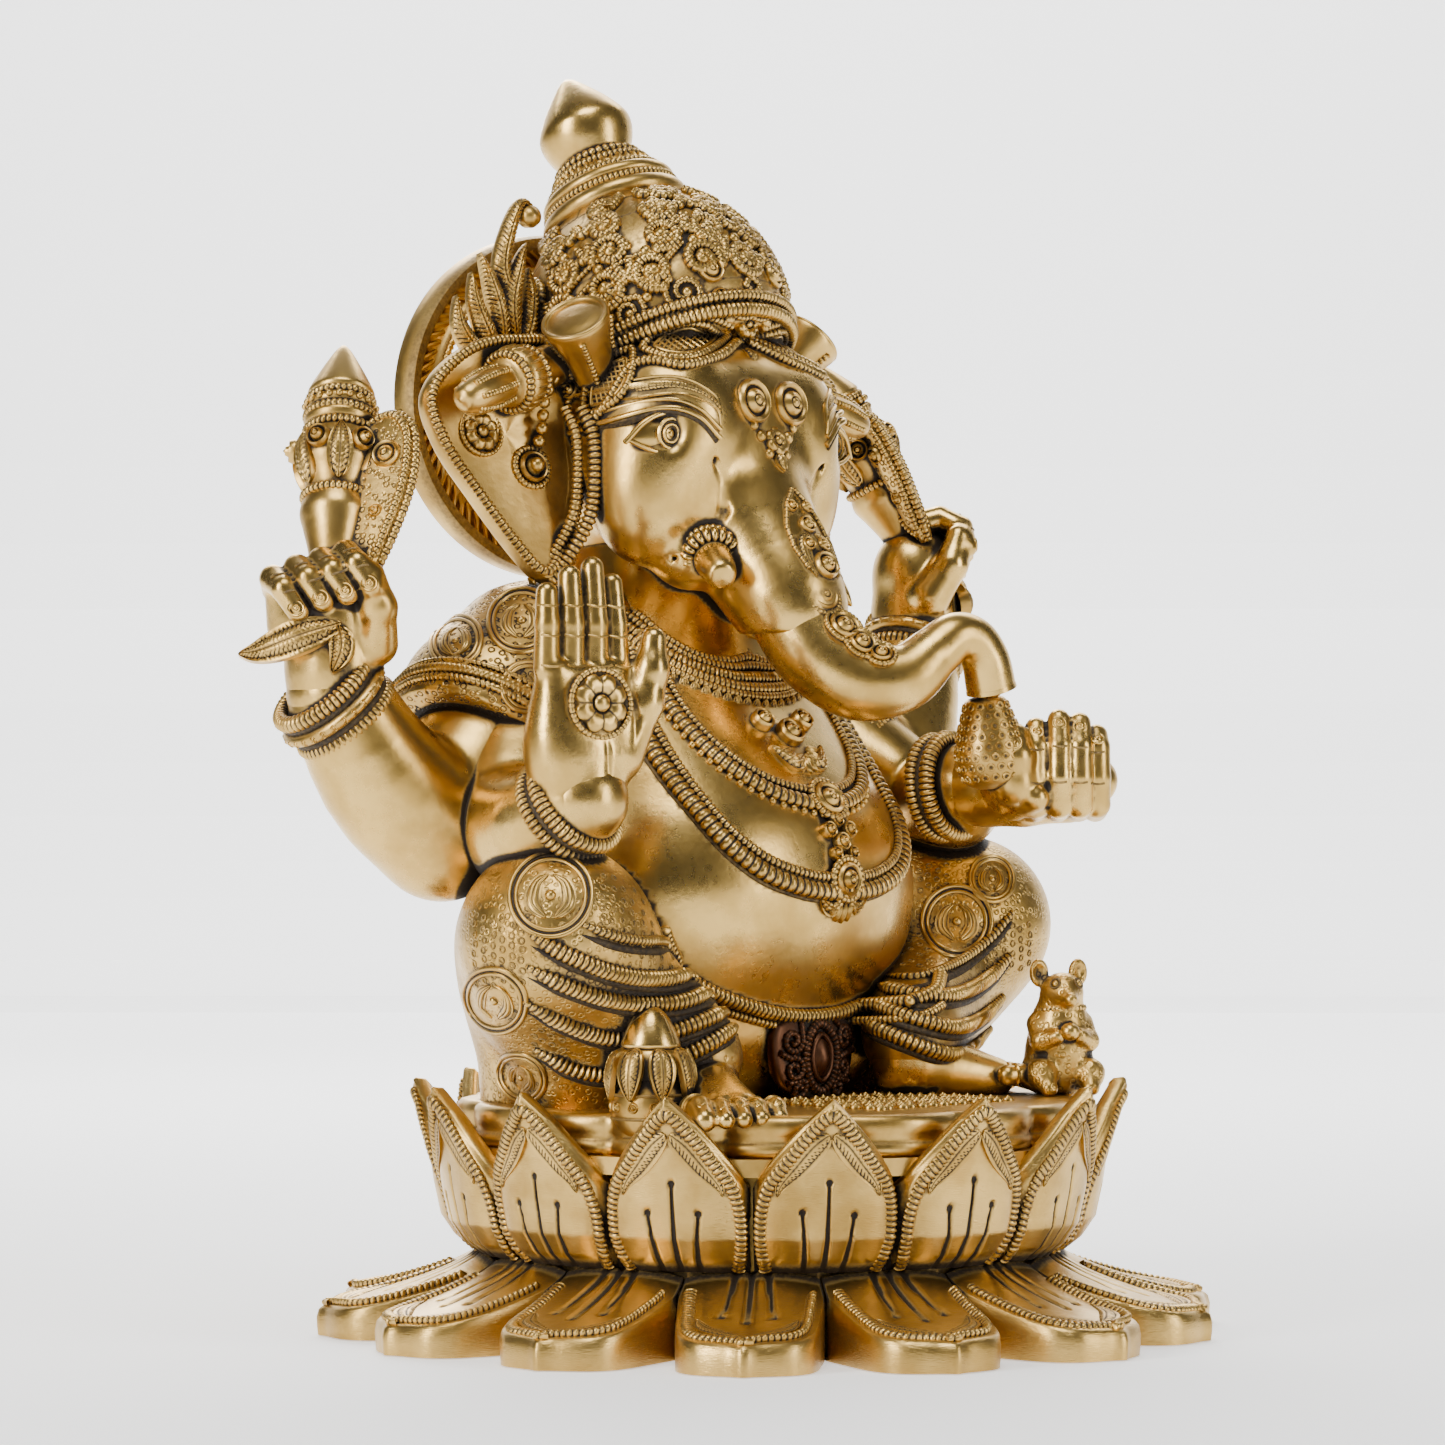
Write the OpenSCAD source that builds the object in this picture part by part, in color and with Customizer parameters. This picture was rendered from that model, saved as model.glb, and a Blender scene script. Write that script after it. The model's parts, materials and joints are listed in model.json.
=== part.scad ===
// Seated elephant-headed deity in cast brass, on a loose double-lotus pedestal.
// Origin: centre of the pedestal on the table. +Z is up and the figure faces -Y,
// so its own right hand is on the -X side. Millimetres.

/* [Overall] */
// Height from the table to the tip of the crown
total_h = 375; // [335:5:415]

/* [Lotus pedestal] */
// Petals in each of the two rows
petal_count = 14; // [12:2:16]
// Reach of the splayed lower petals from the centre
lower_reach = 133; // [128:1:138]
// Height of the tips of the upright upper petals
upper_tip_z = 73; // [68:1:76]
// Height of the deck that the figure stands on
deck_top = 56; // [52:1:58]

/* [Seat slab] */
// Thickness of the scalloped slab under the figure
slab_t = 12; // [10:1:14]
// Depth of the scallops round the slab's edge
scallop = 4; // [2:0.5:5]

/* [Figure] */
// Outer radius of a wrist bangle
bangle_r = 18; // [17:0.5:19]

/* [Halo] */
// Half width of the halo ring
halo_a = 64; // [60:1:68]
// Half height of the halo ring
halo_b = 52; // [48:1:56]
// Width of the halo's rim
halo_rim = 13; // [10:1:15]

/* [Hidden] */
model_h = 375;                 // height that the figure's own points are laid out for
fit = total_h / model_h;       // scale of the whole object
brass = [0.80, 0.60, 0.30];
aged_brass = [0.66, 0.48, 0.22];
dark_brass = [0.42, 0.28, 0.15];
slab_top = deck_top + slab_t;

// ---- the figure's skeleton ----
hip = [50, 36, 99];
knee = [95, -6, 118];
right_ankle = [-50, -18, 82];
left_ankle = [29, -30, 84];
right_toe = [-70, -52, slab_top + 5];
left_toe = [62, -44, slab_top + 6];
shoulder = [56, 46, 186];
right_rear_elbow = [-96, 40, 147];
left_rear_elbow = [98, 42, 160];
right_rear_wrist = [-130, 49, 184];
left_rear_wrist = [126, 50, 203];
right_front_elbow = [-88, 22, 149];
left_front_elbow = [88, 18, 153];
right_front_wrist = [-92, -10, 155];
left_front_wrist = [66, -20, 160];
head_c = [0, 42, 260];
crown_tilt = 26;
crown_foot = [0, 42, 292];
halo_c = [0, 88, 275];

// ---- vector helpers ----
function unit(v) = v / norm(v);
function mirror_x(p) = [-p[0], p[1], p[2]];
function clamp_index(i, n) = min(max(i, 0), n - 1);
function tangent(pts, i) =
    unit(pts[clamp_index(i + 1, len(pts))] - pts[clamp_index(i - 1, len(pts))]);

// One ring of points round a centre, in the plane across the tangent t. rx lies along
// the side direction, which is square to t and to the reference direction.
function ring(c, t, ref, rx, ry, sides) =
    let (side = unit(cross(t, ref)), over = cross(side, t))
    [for (k = [0:sides - 1])
        let (a = 360 * k / sides) c + side * rx * cos(a) + over * ry * sin(a)];

// Closed skin over a stack of rings that all have the same number of points.
module skin(rings) {
    n = len(rings[0]);
    m = len(rings);
    pts = [for (r = rings) each r];
    walls = [for (i = [0:m - 2], k = [0:n - 1])
        let (a = i * n + k, b = i * n + (k + 1) % n) each [[a, b, a + n], [b, b + n, a + n]]];
    first = [for (k = [1:n - 2]) [0, k + 1, k]];
    last = [for (k = [1:n - 2]) [(m - 1) * n, (m - 1) * n + k, (m - 1) * n + k + 1]];
    polyhedron(points = pts, faces = concat(walls, first, last), convexity = 6);
}

// Round-ended tube through points, with a radius at each; flat is the ratio ry / rx.
module limb(pts, radii, ref = [0, 0, 1], flat = 1, sides = 14) {
    m = len(pts) - 1;
    dome = [80, 55, 28];
    rings = concat(
        [for (a = dome)
            ring(pts[0] - tangent(pts, 0) * radii[0] * sin(a), tangent(pts, 0), ref,
                 radii[0] * cos(a), radii[0] * cos(a) * flat, sides)],
        [for (i = [0:m]) ring(pts[i], tangent(pts, i), ref, radii[i], radii[i] * flat, sides)],
        [for (j = [2:-1:0])
            ring(pts[m] + tangent(pts, m) * radii[m] * sin(dome[j]), tangent(pts, m), ref,
                 radii[m] * cos(dome[j]), radii[m] * cos(dome[j]) * flat, sides)]);
    skin(rings);
}

// Quadratic curve through three guide points, in n steps.
function bend(a, b, c, n) =
    [for (i = [0:n]) let (t = i / n) a * (1 - t) * (1 - t) + b * 2 * t * (1 - t) + c * t * t];

// Places children at p with their +Z along d.
module along(p, d) {
    u = unit(d);
    translate(p) rotate([0, acos(u[2]), atan2(u[1], u[0])]) children();
}
module capsule(a, b, ra, rb) {
    hull() {
        translate(a) sphere(r = ra, $fn = 12);
        translate(b) sphere(r = rb, $fn = 12);
    }
}
module torus(r, section) {
    rotate_extrude($fn = 48) translate([r, 0]) circle(r = section, $fn = 24);
}

// ---- lotus pedestal ----
ring_top = 24;
columns_per_petal = 8;
columns = petal_count * columns_per_petal;
function petal_t(j, shift) =
    let (s = (j / columns_per_petal + shift) % 1) abs(2 * s - 1);
// Closed ring whose cross-section, a list of [r, z], changes with the column.
module lotus_ring(sections) {
    n = len(sections);
    m = len(sections[0]);
    pts = [for (j = [0:n - 1], p = sections[j])
        let (a = 360 * j / n - 90) [p[0] * cos(a), p[0] * sin(a), p[1]]];
    faces = [for (j = [0:n - 1], k = [0:m - 1])
        let (a = j * m + k, b = j * m + (k + 1) % m,
             c = ((j + 1) % n) * m + k, d = ((j + 1) % n) * m + (k + 1) % m)
        each [[a, c, b], [b, c, d]]];
    polyhedron(points = pts, faces = faces, convexity = 10);
}
// Petal centres of the lower row lie where t is 0, one of them straight ahead of the figure.
function lower_section(t) =
    let (reach = 104 + (lower_reach - 104) * (1 - pow(t, 1.7)), dip = 4 * pow(t, 3))
    [[80, 0], [80, ring_top], [88, ring_top - 1 - dip], [96, 18 - dip], [reach * 0.9 + 10, 12 - dip],
     [reach, 8], [reach, 0]];
module lotus_lower_petals() {
    color(aged_brass)
        lotus_ring([for (j = [0:columns - 1]) lower_section(petal_t(j, 0.5))]);
}
function upper_section(t) =
    let (tip = 46 + (upper_tip_z - 46) * pow(1 - t, 0.85), rise = tip - ring_top,
         dip = 5 * pow(t, 3), tip_r = 101 + 6 * (1 - t))
    [[82, ring_top], [84, 30], [92, 40], [tip_r - 5, ring_top + rise * 0.8], [tip_r - 2, tip],
     [tip_r, tip - 0.5], [102 - dip, ring_top + rise * 0.75], [100 - dip, ring_top + rise * 0.45],
     [95 - dip, 30], [88, ring_top]];
module lotus_upper_petals() {
    color(aged_brass)
        lotus_ring([for (j = [0:columns - 1]) upper_section(petal_t(j, 0))]);
}
module lotus_deck() {
    color(aged_brass) rotate_extrude($fn = 96) polygon([
        [0, deck_top - 5], [78, deck_top - 5], [78, ring_top], [81.5, ring_top],
        [81.5, deck_top - 5], [93, deck_top - 5], [93, deck_top], [0, deck_top]]);
}

// ---- seat, torso and legs ----
module seat_slab() {
    lobes = 16;
    outline = [for (a = [0:3:357]) (88 + scallop * abs(cos(a * lobes / 2))) * [cos(a), sin(a)]];
    color(brass) translate([0, 0, deck_top]) linear_extrude(height = slab_t) polygon(outline);
}
// Height, centre y, half width and half depth of the torso, from the seat to the neck.
torso_rings = [
    [0, 34, 58, 44], [14, 33, 64, 46], [27, 31, 68, 49], [41, 29, 70, 54], [60, 28, 70, 57],
    [82, 29, 64, 55], [102, 35, 58, 46], [122, 41, 55, 38], [137, 44, 46, 32],
    [148, 44, 30, 26]];
module torso() {
    color(brass) skin([for (row = torso_rings)
        ring([0, row[1], slab_top + row[0]], [0, 0, 1], [0, 1, 0], row[2], row[3], 28)]);
}
module leg(side) {
    ankle = side < 0 ? right_ankle : left_ankle;
    h = [side * hip[0], hip[1], hip[2]];
    k = [side * knee[0], knee[1], knee[2]];
    thigh = bend(h, (h + k) / 2 + [side * 6, 0, 2], k, 4);
    shin = bend(k, (k + ankle) / 2 + [side * 10, -9, 0], ankle, 4);
    color(aged_brass) {
        for (i = [0:3]) capsule(thigh[i], thigh[i + 1], 33 - i * 1.6, 31.4 - i * 1.6);
        for (i = [0:3]) capsule(shin[i], shin[i + 1], 25.8 - i * 3, 22.8 - i * 3);
    }
}
module right_leg() { leg(-1); }
module left_leg() { leg(1); }
// Sole, ankle and five toes, from the heel at the ankle to the middle of the toe line.
module foot(ankle, toe, out) {
    d = unit([toe[0] - ankle[0], toe[1] - ankle[1], 0]);
    s = [-d[1], d[0], 0] * out;
    heel = [ankle[0], ankle[1], toe[2] + 4];
    color(brass) {
        capsule(ankle, heel, 11, 9);
        capsule(heel, toe - d * 8 + s * 3, 9, 6.5);
        capsule(heel, toe - d * 8 - s * 5, 9, 6.5);
        capsule(toe - d * 8 - s * 5, toe - d * 8 + s * 4, 6.5, 6);
        for (i = [0:4]) {
            root = toe - d * 8 + s * (i * 4 - 7);
            capsule(root, root + d * (13 - i * 1.6) - [0, 0, 1], i == 0 ? 4 : 3, i == 0 ? 3.6 : 2.6);
        }
    }
}
module right_foot() { foot(right_ankle, right_toe, 1); }
module left_foot() { foot(left_ankle, left_toe, -1); }
// Sagging cord of metal lying on the front of the torso: from -reach to +reach in x.
module swag(reach, low_z, high_z, front_y, back_y, r) {
    n = 14;
    pts = [for (i = [0:n]) let (t = 2 * i / n - 1)
        [reach * sin(90 * t), front_y + (back_y - front_y) * pow(abs(t), 2.2),
         low_z + (high_z - low_z) * pow(abs(t), 2.4)]];
    limb(pts, [for (p = pts) r], ref = [0, 0.3, 1], sides = 10);
}
module waist_belt() {
    color(aged_brass) swag(60, 92, 112, -18, 16, 3.6);
}
module waist_clasp() {
    color(dark_brass) {
        capsule([-9, -17, 83], [9, -17, 83], 8, 8);
        capsule([-14, -18, 74], [14, -18, 74], 6.5, 6.5);
    }
}

// ---- ornaments on the chest ----
module sleeve(side) {
    s = [side * (shoulder[0] + 4), shoulder[1], shoulder[2] - 2];
    color(aged_brass)
        limb([s + [-side * 20, -1, 15], s + [-side * 4, 0, 6], s + [side * 12, 0, -8]],
             [22, 27, 28], ref = [0, 1, 0], sides = 18);
}
module right_sleeve() { sleeve(-1); }
module left_sleeve() { sleeve(1); }
module collar() {
    color(aged_brass) swag(44, 188, 211, -1, 32, 6);
}
module short_necklace() {
    color(brass) swag(37, 156, 200, -26, 10, 3.8);
}
module long_necklace() {
    color(brass) swag(46, 130, 192, -31.5, 8, 4.2);
}
module necklace_pendant() {
    color(brass) {
        capsule([0, -31, 156], [0, -34, 129], 4.5, 4.5);
        for (z = [156, 129]) translate([0, -33, z]) rotate([90, 0, 0]) cylinder(r = 6.5, h = 6, $fn = 48);
        capsule([-6, -33, 119], [6, -33, 119], 4.5, 4.5);
        capsule([0, -34, 129], [0, -33, 119], 4, 4);
    }
}

// ---- arms, bangles, hands ----
module arm(s, e, w, thick) {
    n = 5;
    upper = bend(s, (s + e) / 2 + [0, 0, -4], e, n);
    lower = bend(e, (e + w) / 2, w, n);
    lower_tail = [for (i = [2:n]) lower[i]];
    radii = concat([for (i = [0:n]) thick - i * 0.7], [for (i = [2:n]) thick - 2.4 - i * 1.3]);
    color(brass) limb(concat(upper, lower_tail), radii, ref = [0, 1, 0.2], sides = 14);
}
module right_rear_arm() { arm(mirror_x(shoulder), right_rear_elbow, right_rear_wrist, 23); }
module left_rear_arm() { arm(shoulder, left_rear_elbow, left_rear_wrist, 23); }
module right_front_arm() {
    arm(mirror_x(shoulder) + [0, -6, -4], right_front_elbow, right_front_wrist, 19);
}
module left_front_arm() {
    arm(shoulder + [0, -6, -4], left_front_elbow, left_front_wrist, 19);
}
module bangle(p, d) {
    color(brass) along(p, d) for (z = [-4, 0.5, 5])
        translate([0, 0, z]) torus(bangle_r - 3, z == 0.5 ? 3 : 2.4);
}
module right_rear_bangle() {
    bangle(right_rear_wrist - [0, 0, 2], right_rear_wrist - right_rear_elbow);
}
module left_rear_bangle() {
    bangle(left_rear_wrist - [0, 0, 2], left_rear_wrist - left_rear_elbow);
}
module right_front_bangle() { bangle(right_front_wrist + [0, 3, -1], [0.05, -0.75, 0.5]); }
module left_front_bangle() { bangle(left_front_wrist + [-1, 5, -1], [0.1, -0.95, 0.1]); }

// Fist round a grip: palm, four curled fingers and a thumb. side is -1 on the right.
module grip_hand(wrist, top, side) {
    up = unit(top - wrist);
    out = unit([side, -0.15, 0]);
    fwd = unit(cross(up, out)) * side;
    palm = wrist + up * 30;
    color(brass) {
        capsule(wrist + up * 2, palm, 12, 13);
        capsule(palm - fwd * 4, palm + out * 7 + up * 4, 12, 10);
        for (i = [0:3]) {
            k = palm + out * 10 + up * (9 - i * 6.5) - fwd * 5;
            capsule(k, k + fwd * 15 + out * 3, 5, 4.6);
            capsule(k + fwd * 15 + out * 3, k + fwd * 13 - out * 8, 4.6, 4);
        }
        capsule(palm + fwd * 8 - up * 4, palm + fwd * 12 + up * 10, 6, 4.4);
    }
}
right_grip_top = right_rear_wrist + [-2, 0, 40];
left_grip_top = left_rear_wrist + [3, 0, 40];
module right_rear_hand() { grip_hand(right_rear_wrist, right_grip_top, -1); }
module left_rear_hand() { grip_hand(left_rear_wrist, left_grip_top, 1); }

// Open palm raised in blessing: the fingers point up and the palm faces forward.
palm_turn = -16;
module right_front_hand() {
    w = right_front_wrist;
    color(brass) translate(w) rotate([-4, 0, palm_turn]) {
        capsule([0, -1, 4], [0, -4, 22], 11, 12);
        for (x = [-8, 8]) capsule([x, -4, 20], [x, -6, 38], 8, 5.5);
        for (i = [0:3]) {
            x = i * 7.4 - 11;
            tip = [62, 66, 68, 60][i];
            capsule([x, -6, 37], [x * 0.95, -8, tip], 4.2, 3.3);
        }
        capsule([10, -6, 16], [19, -10, 34], 7, 4.6);
        capsule([19, -10, 34], [20, -11, 45], 4.6, 3.5);
    }
}
module palm_rosette() {
    color(brass) translate(right_front_wrist) rotate([-4, 0, palm_turn])
        along([0, -14, 27], [0, -1, 0]) cylinder(r = 9, h = 3.2, $fn = 48);
}
// Cupped hand held out in front with the sweet in it.
module left_front_hand() {
    w = left_front_wrist;
    color(brass) {
        capsule(w, w + [4, -22, 4], 10.5, 12);
        capsule(w + [4, -22, 4], w + [12, -34, 5], 12, 10);
        for (i = [0:3]) {
            k = w + [22 + i * 1.5, -28 - i * 6.2, 1 + i * 0.5];
            capsule(w + [10, -26 - i * 5, -2], k, 6.2, 4.6);
            capsule(k, k + [2, -1, 12], 4.6, 4);
        }
        capsule(w + [-6, -22, 6], w + [-7, -36, 12], 5, 4);
    }
}
modak_c = [49, -50, 170];
module modak() {
    profile = [[0, -13], [8, -12.5], [11.5, -8], [12.5, -2], [11, 6], [8, 13.5], [0, 14.5]];
    color(aged_brass) along(modak_c, [-0.15, 0, 1])
        rotate_extrude($fn = 64) polygon(profile);
}

// ---- attributes in the rear hands ----
// Handle with a bell-shaped neck, stacked rings, a pointed cap and a blade behind.
module axe(foot_p, top_p, blade) {
    d = top_p - foot_p;
    h = norm(d);
    color(brass) along(foot_p, d) union() {
        rotate_extrude($fn = 48) polygon([
            [0, 0], [9, 0], [10, h * 0.3], [13, h * 0.38], [15, h * 0.5], [13, h * 0.62],
            [10, h * 0.68], [11.5, h * 0.71], [9.5, h * 0.76], [10.5, h * 0.8],
            [9, h * 0.83], [8.5, h * 0.86], [0, h]]);
        rotate([0, 0, blade]) translate([9, 0, h * 0.36]) rotate([90, 0, 0])
            translate([0, 0, -4]) linear_extrude(height = 8)
                polygon([[-4, -20], [6, -6], [16, 8], [17, 20], [10, 30], [-4, 26]]);
    }
}
module right_axe() {
    axe(right_rear_wrist + [0, 1, 34], right_rear_wrist + [25, 22, 103], -120);
}
module left_axe() {
    axe(left_rear_wrist + [0, 1, 32], left_rear_wrist + [-25, 22, 91], -60);
}

// ---- head ----
module head() {
    rows = [[-46, -2, 20, 16], [-38, -2, 34, 28], [-24, -2, 44, 38], [-6, 0, 48, 42],
            [12, 2, 45, 42], [28, 4, 40, 39], [38, 6, 30, 31]];
    color(brass) skin([for (r = rows)
        ring(head_c + [0, r[1], r[0]], [0, 0, 1], [0, 1, 0], r[2], r[3], 24)]);
}
trunk_path = [
    [0, 30, 258], [0, 22, 250], [0, 12, 241], [0, 3, 230], [0, -3, 221], [0, -9, 213],
    [3, -18, 199], [9, -30, 190], [17, -39, 192], [25, -43, 199], [30, -46, 203],
    [36, -48, 201], [41, -49, 196], [44, -49, 189]];
trunk_radii = [24, 22, 19, 16, 14.5, 14, 13, 10.5, 8, 6.6, 6.4, 6.4, 6.8, 7];
module trunk() {
    color(brass) limb(trunk_path, trunk_radii, ref = [1, 0, 0], sides = 16);
}
module trunk_band() {
    color(brass) along([0, -8.7, 213], [-0.1, 0.55, 0.83])
        for (z = [-2.4, 2.4]) translate([0, 0, z]) torus(14, 2.3);
}
module forehead_medallion() {
    color(brass) along([0, 5, 272], [0, -1, 0.25]) cylinder(r = 11, h = 5, $fn = 64);
}
module right_tusk() {
    color(brass) along([-21, 6, 229], [-0.45, -0.75, -0.48]) union() {
        torus(7.5, 3);
        cylinder(r1 = 5.5, r2 = 4.4, h = 17, $fn = 48);
    }
}
module left_tusk() {
    color(brass) along([21, 6, 229], [0.16, -0.72, -0.68]) union() {
        torus(7.5, 3);
        cylinder(r1 = 5.5, r2 = 0.6, h = 22, $fn = 48);
    }
}
module ear(side) {
    root_top = [side * 42, 47, 286];
    outer = [side * 88, 54, 276];
    tip = [side * 62, 36, 222];
    root_low = [side * 42, 40, 236];
    color(brass) {
        hull() for (p = [root_top, outer, tip]) translate(p) sphere(r = 3.5, $fn = 16);
        hull() for (p = [root_top, root_low, tip]) translate(p) sphere(r = 4, $fn = 16);
    }
}
module right_ear() { ear(-1); }
module left_ear() { ear(1); }
// Flat fan of feathers that rises beside the crown.
module ear_plume(side) {
    color(brass) translate([side * 51, 60, 284]) rotate([0, side * 4, 0])
        rotate([90, 0, 0]) translate([0, 0, -3]) linear_extrude(height = 6)
            scale([side, 1]) polygon([
                [-12, -2], [10, -2], [20, 10], [20, 20], [12, 16], [13, 30], [4, 26],
                [2, 40], [-4, 48], [-10, 44], [-8, 30], [-16, 14]]);
}
module right_ear_plume() { ear_plume(-1); }
module left_ear_plume() { ear_plume(1); }
module ear_rod(side) {
    color(brass) along([side * 48, 44, 283], [side * 1, 0, -0.24]) union() {
        cylinder(r = 6, h = 42, $fn = 40);
        translate([0, 0, 20]) torus(6, 4);
        translate([0, 0, 42]) sphere(r = 6, $fn = 40);
    }
}
module right_ear_rod() { ear_rod(-1); }
module left_ear_rod() { ear_rod(1); }
module ear_drum(side) {
    color(brass) along([side * 38, 34, 281], [side * 0.6, -0.15, 0.75])
        cylinder(r1 = 7.5, r2 = 9.5, h = 20, $fn = 48);
}
module right_ear_drum() { ear_drum(-1); }
module left_ear_drum() { ear_drum(1); }

// ---- crown ----
module crown_frame() {
    translate(crown_foot) rotate([-crown_tilt, 0, 0]) children();
}
module crown() {
    color(aged_brass) crown_frame() rotate_extrude($fn = 72) polygon([
        [0, -10], [34, -10], [39, -3], [40, 6], [38, 18], [34, 29], [28, 38], [20, 45], [0, 46]]);
}
module crown_band() {
    color(brass) translate([0, 45, 288]) rotate([-8, 0, 0]) torus(42, 4.5);
}
module crown_tiers() {
    color(brass) crown_frame() rotate_extrude($fn = 72) polygon([
        [0, 44], [21, 44], [23, 48], [20, 52], [17.5, 54], [18.5, 57], [15, 61], [13.5, 63],
        [14, 66], [12, 69], [0, 69]]);
}
finial_foot = 69;
finial_h = (model_h - crown_foot[2]) / cos(crown_tilt) - finial_foot;
module crown_finial() {
    color(brass) crown_frame() translate([0, 0, finial_foot]) rotate_extrude($fn = 72) polygon([
        [0, 0], [11, 0], [13.5, finial_h * 0.28], [12, finial_h * 0.44], [0, finial_h]]);
}
module halo() {
    function oval(a, b) = [for (t = [0:7.5:352.5]) [a * cos(t), b * sin(t)]];
    color(aged_brass) translate(halo_c) rotate([90, 0, 0]) translate([0, 0, -4])
        linear_extrude(height = 8) difference() {
            polygon(oval(halo_a, halo_b));
            polygon(oval(halo_a - halo_rim, halo_b - halo_rim));
        }
}
module halo_post() {
    color(brass) union() {
        translate([-halo_a + halo_rim - 3, 84, 268]) cube([2 * (halo_a - halo_rim) + 6, 6, 9]);
        along([0, 90, 272.5], [0, -1, 0]) cylinder(r = 7, h = 26, $fn = 40);
    }
}

// ---- small figures on the seat ----
module mouse() {
    color(aged_brass) translate([66, -57, slab_top]) rotate([0, 0, -35]) {
        capsule([0, 0, 9], [0, -1, 20], 9, 7.5);
        capsule([0, -1, 20], [0, -3, 30], 7.5, 6);
        capsule([0, -3, 30], [0, -10, 29], 5.5, 2.6);
        for (s = [-1, 1]) {
            capsule([s * 5, 1, 35], [s * 6, 1, 37], 3.4, 2.8);
            capsule([s * 6, -3, 20], [s * 2, -10, 19], 2.8, 2.2);
            capsule([s * 5, -2, 5], [s * 5, -10, 4], 5, 3.6);
        }
    }
}
pot_p = [-78, -25, deck_top + 1];
module offering_pot() {
    color(aged_brass) translate(pot_p) rotate_extrude($fn = 64) polygon([
        [0, 0], [7.5, 0], [7.5, 2], [10.5, 7], [11.2, 13], [9, 19], [8, 21], [0, 21]]);
}
module pot_leaves() {
    color(aged_brass) translate(pot_p + [0, 0, 21]) rotate_extrude($fn = 64) polygon([
        [0, 0], [8, 0], [12, -6], [12.5, -4], [10.5, 3], [8.5, 7], [0, 7]]);
}
module pot_coconut() {
    color(brass) translate(pot_p + [0, 0, 28]) rotate_extrude($fn = 64) polygon([
        [0, 0], [7.5, 0], [7.8, 2], [4.5, 8], [1, 12.7], [0, 13]]);
}

scale(fit) {
    lotus_lower_petals();
    lotus_upper_petals();
    lotus_deck();
    seat_slab();
    torso();
    right_leg();
    left_leg();
    right_foot();
    left_foot();
    waist_belt();
    waist_clasp();
    right_sleeve();
    left_sleeve();
    collar();
    short_necklace();
    long_necklace();
    necklace_pendant();
    right_rear_arm();
    left_rear_arm();
    right_front_arm();
    left_front_arm();
    right_rear_bangle();
    left_rear_bangle();
    right_front_bangle();
    left_front_bangle();
    right_rear_hand();
    left_rear_hand();
    right_front_hand();
    left_front_hand();
    right_axe();
    left_axe();
    modak();
    palm_rosette();
    head();
    trunk();
    trunk_band();
    forehead_medallion();
    right_tusk();
    left_tusk();
    right_ear();
    left_ear();
    right_ear_plume();
    left_ear_plume();
    right_ear_rod();
    left_ear_rod();
    right_ear_drum();
    left_ear_drum();
    crown();
    crown_band();
    crown_tiers();
    crown_finial();
    halo();
    halo_post();
    mouse();
    offering_pot();
    pot_leaves();
    pot_coconut();
}
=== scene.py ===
import json
import math

import bpy
import numpy as np
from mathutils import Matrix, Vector
from mathutils.bvhtree import BVHTree

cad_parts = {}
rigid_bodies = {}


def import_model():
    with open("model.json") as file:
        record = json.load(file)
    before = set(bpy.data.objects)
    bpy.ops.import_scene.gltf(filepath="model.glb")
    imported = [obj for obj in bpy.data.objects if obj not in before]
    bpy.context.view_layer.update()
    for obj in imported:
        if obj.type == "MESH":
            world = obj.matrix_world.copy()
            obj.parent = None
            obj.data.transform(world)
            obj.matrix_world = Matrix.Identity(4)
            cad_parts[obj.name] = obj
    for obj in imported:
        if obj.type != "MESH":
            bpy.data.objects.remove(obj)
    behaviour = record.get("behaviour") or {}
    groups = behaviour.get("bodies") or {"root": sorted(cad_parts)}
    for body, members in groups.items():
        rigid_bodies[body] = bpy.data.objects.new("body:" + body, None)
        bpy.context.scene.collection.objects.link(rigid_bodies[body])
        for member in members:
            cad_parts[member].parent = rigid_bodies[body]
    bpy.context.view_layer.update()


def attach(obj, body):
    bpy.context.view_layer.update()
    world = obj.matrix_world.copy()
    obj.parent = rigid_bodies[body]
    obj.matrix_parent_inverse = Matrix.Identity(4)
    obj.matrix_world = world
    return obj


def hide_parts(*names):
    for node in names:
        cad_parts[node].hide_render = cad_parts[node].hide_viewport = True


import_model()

MM = 0.001
TAU = 2 * math.pi


# ------------------------------------------------------------------ vectors and curves

def vec(*p):
    return np.array(p[0] if len(p) == 1 else p, float)


def unit(v):
    v = np.asarray(v, float)
    return v / np.maximum(np.linalg.norm(v, axis=-1, keepdims=True), 1e-9)


def frame_of(axis, hint=(0, 0, 1)):
    """Two directions square to axis and to each other."""
    axis = unit(axis)
    side = np.cross(hint, axis)
    if np.linalg.norm(side) < 0.05:
        side = np.cross((0, 1, 0), axis)
    side = unit(side)
    return side, np.cross(axis, side)


def curve(points, step=0.6, closed=False):
    """Smooth curve through the points, as evenly spaced points about step apart."""
    p = np.asarray(points, float)
    n = len(p)
    if closed:
        p = np.vstack([p[-1], p, p[0], p[1]])
        spans = n
    else:
        p = np.vstack([2 * p[0] - p[1], p, 2 * p[-1] - p[-2]])
        spans = n - 1
    t = np.linspace(0, 1, 16, endpoint=False)[:, None]
    out = []
    for i in range(spans):
        a, b, c, d = p[i:i + 4]
        out.append(0.5 * (2 * b + (c - a) * t + (2 * a - 5 * b + 4 * c - d) * t ** 2
                          + (3 * b - a - 3 * c + d) * t ** 3))
    out = np.vstack(out + [p[1 + spans][None]])
    run = np.concatenate([[0], np.cumsum(np.linalg.norm(np.diff(out, axis=0), axis=1))])
    count = max(int(run[-1] / step), 3)
    at = np.linspace(0, run[-1], count + 1)
    if closed:
        at = at[:-1]
    return np.stack([np.interp(at, run, out[:, k]) for k in range(out.shape[1])], axis=1)


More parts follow.
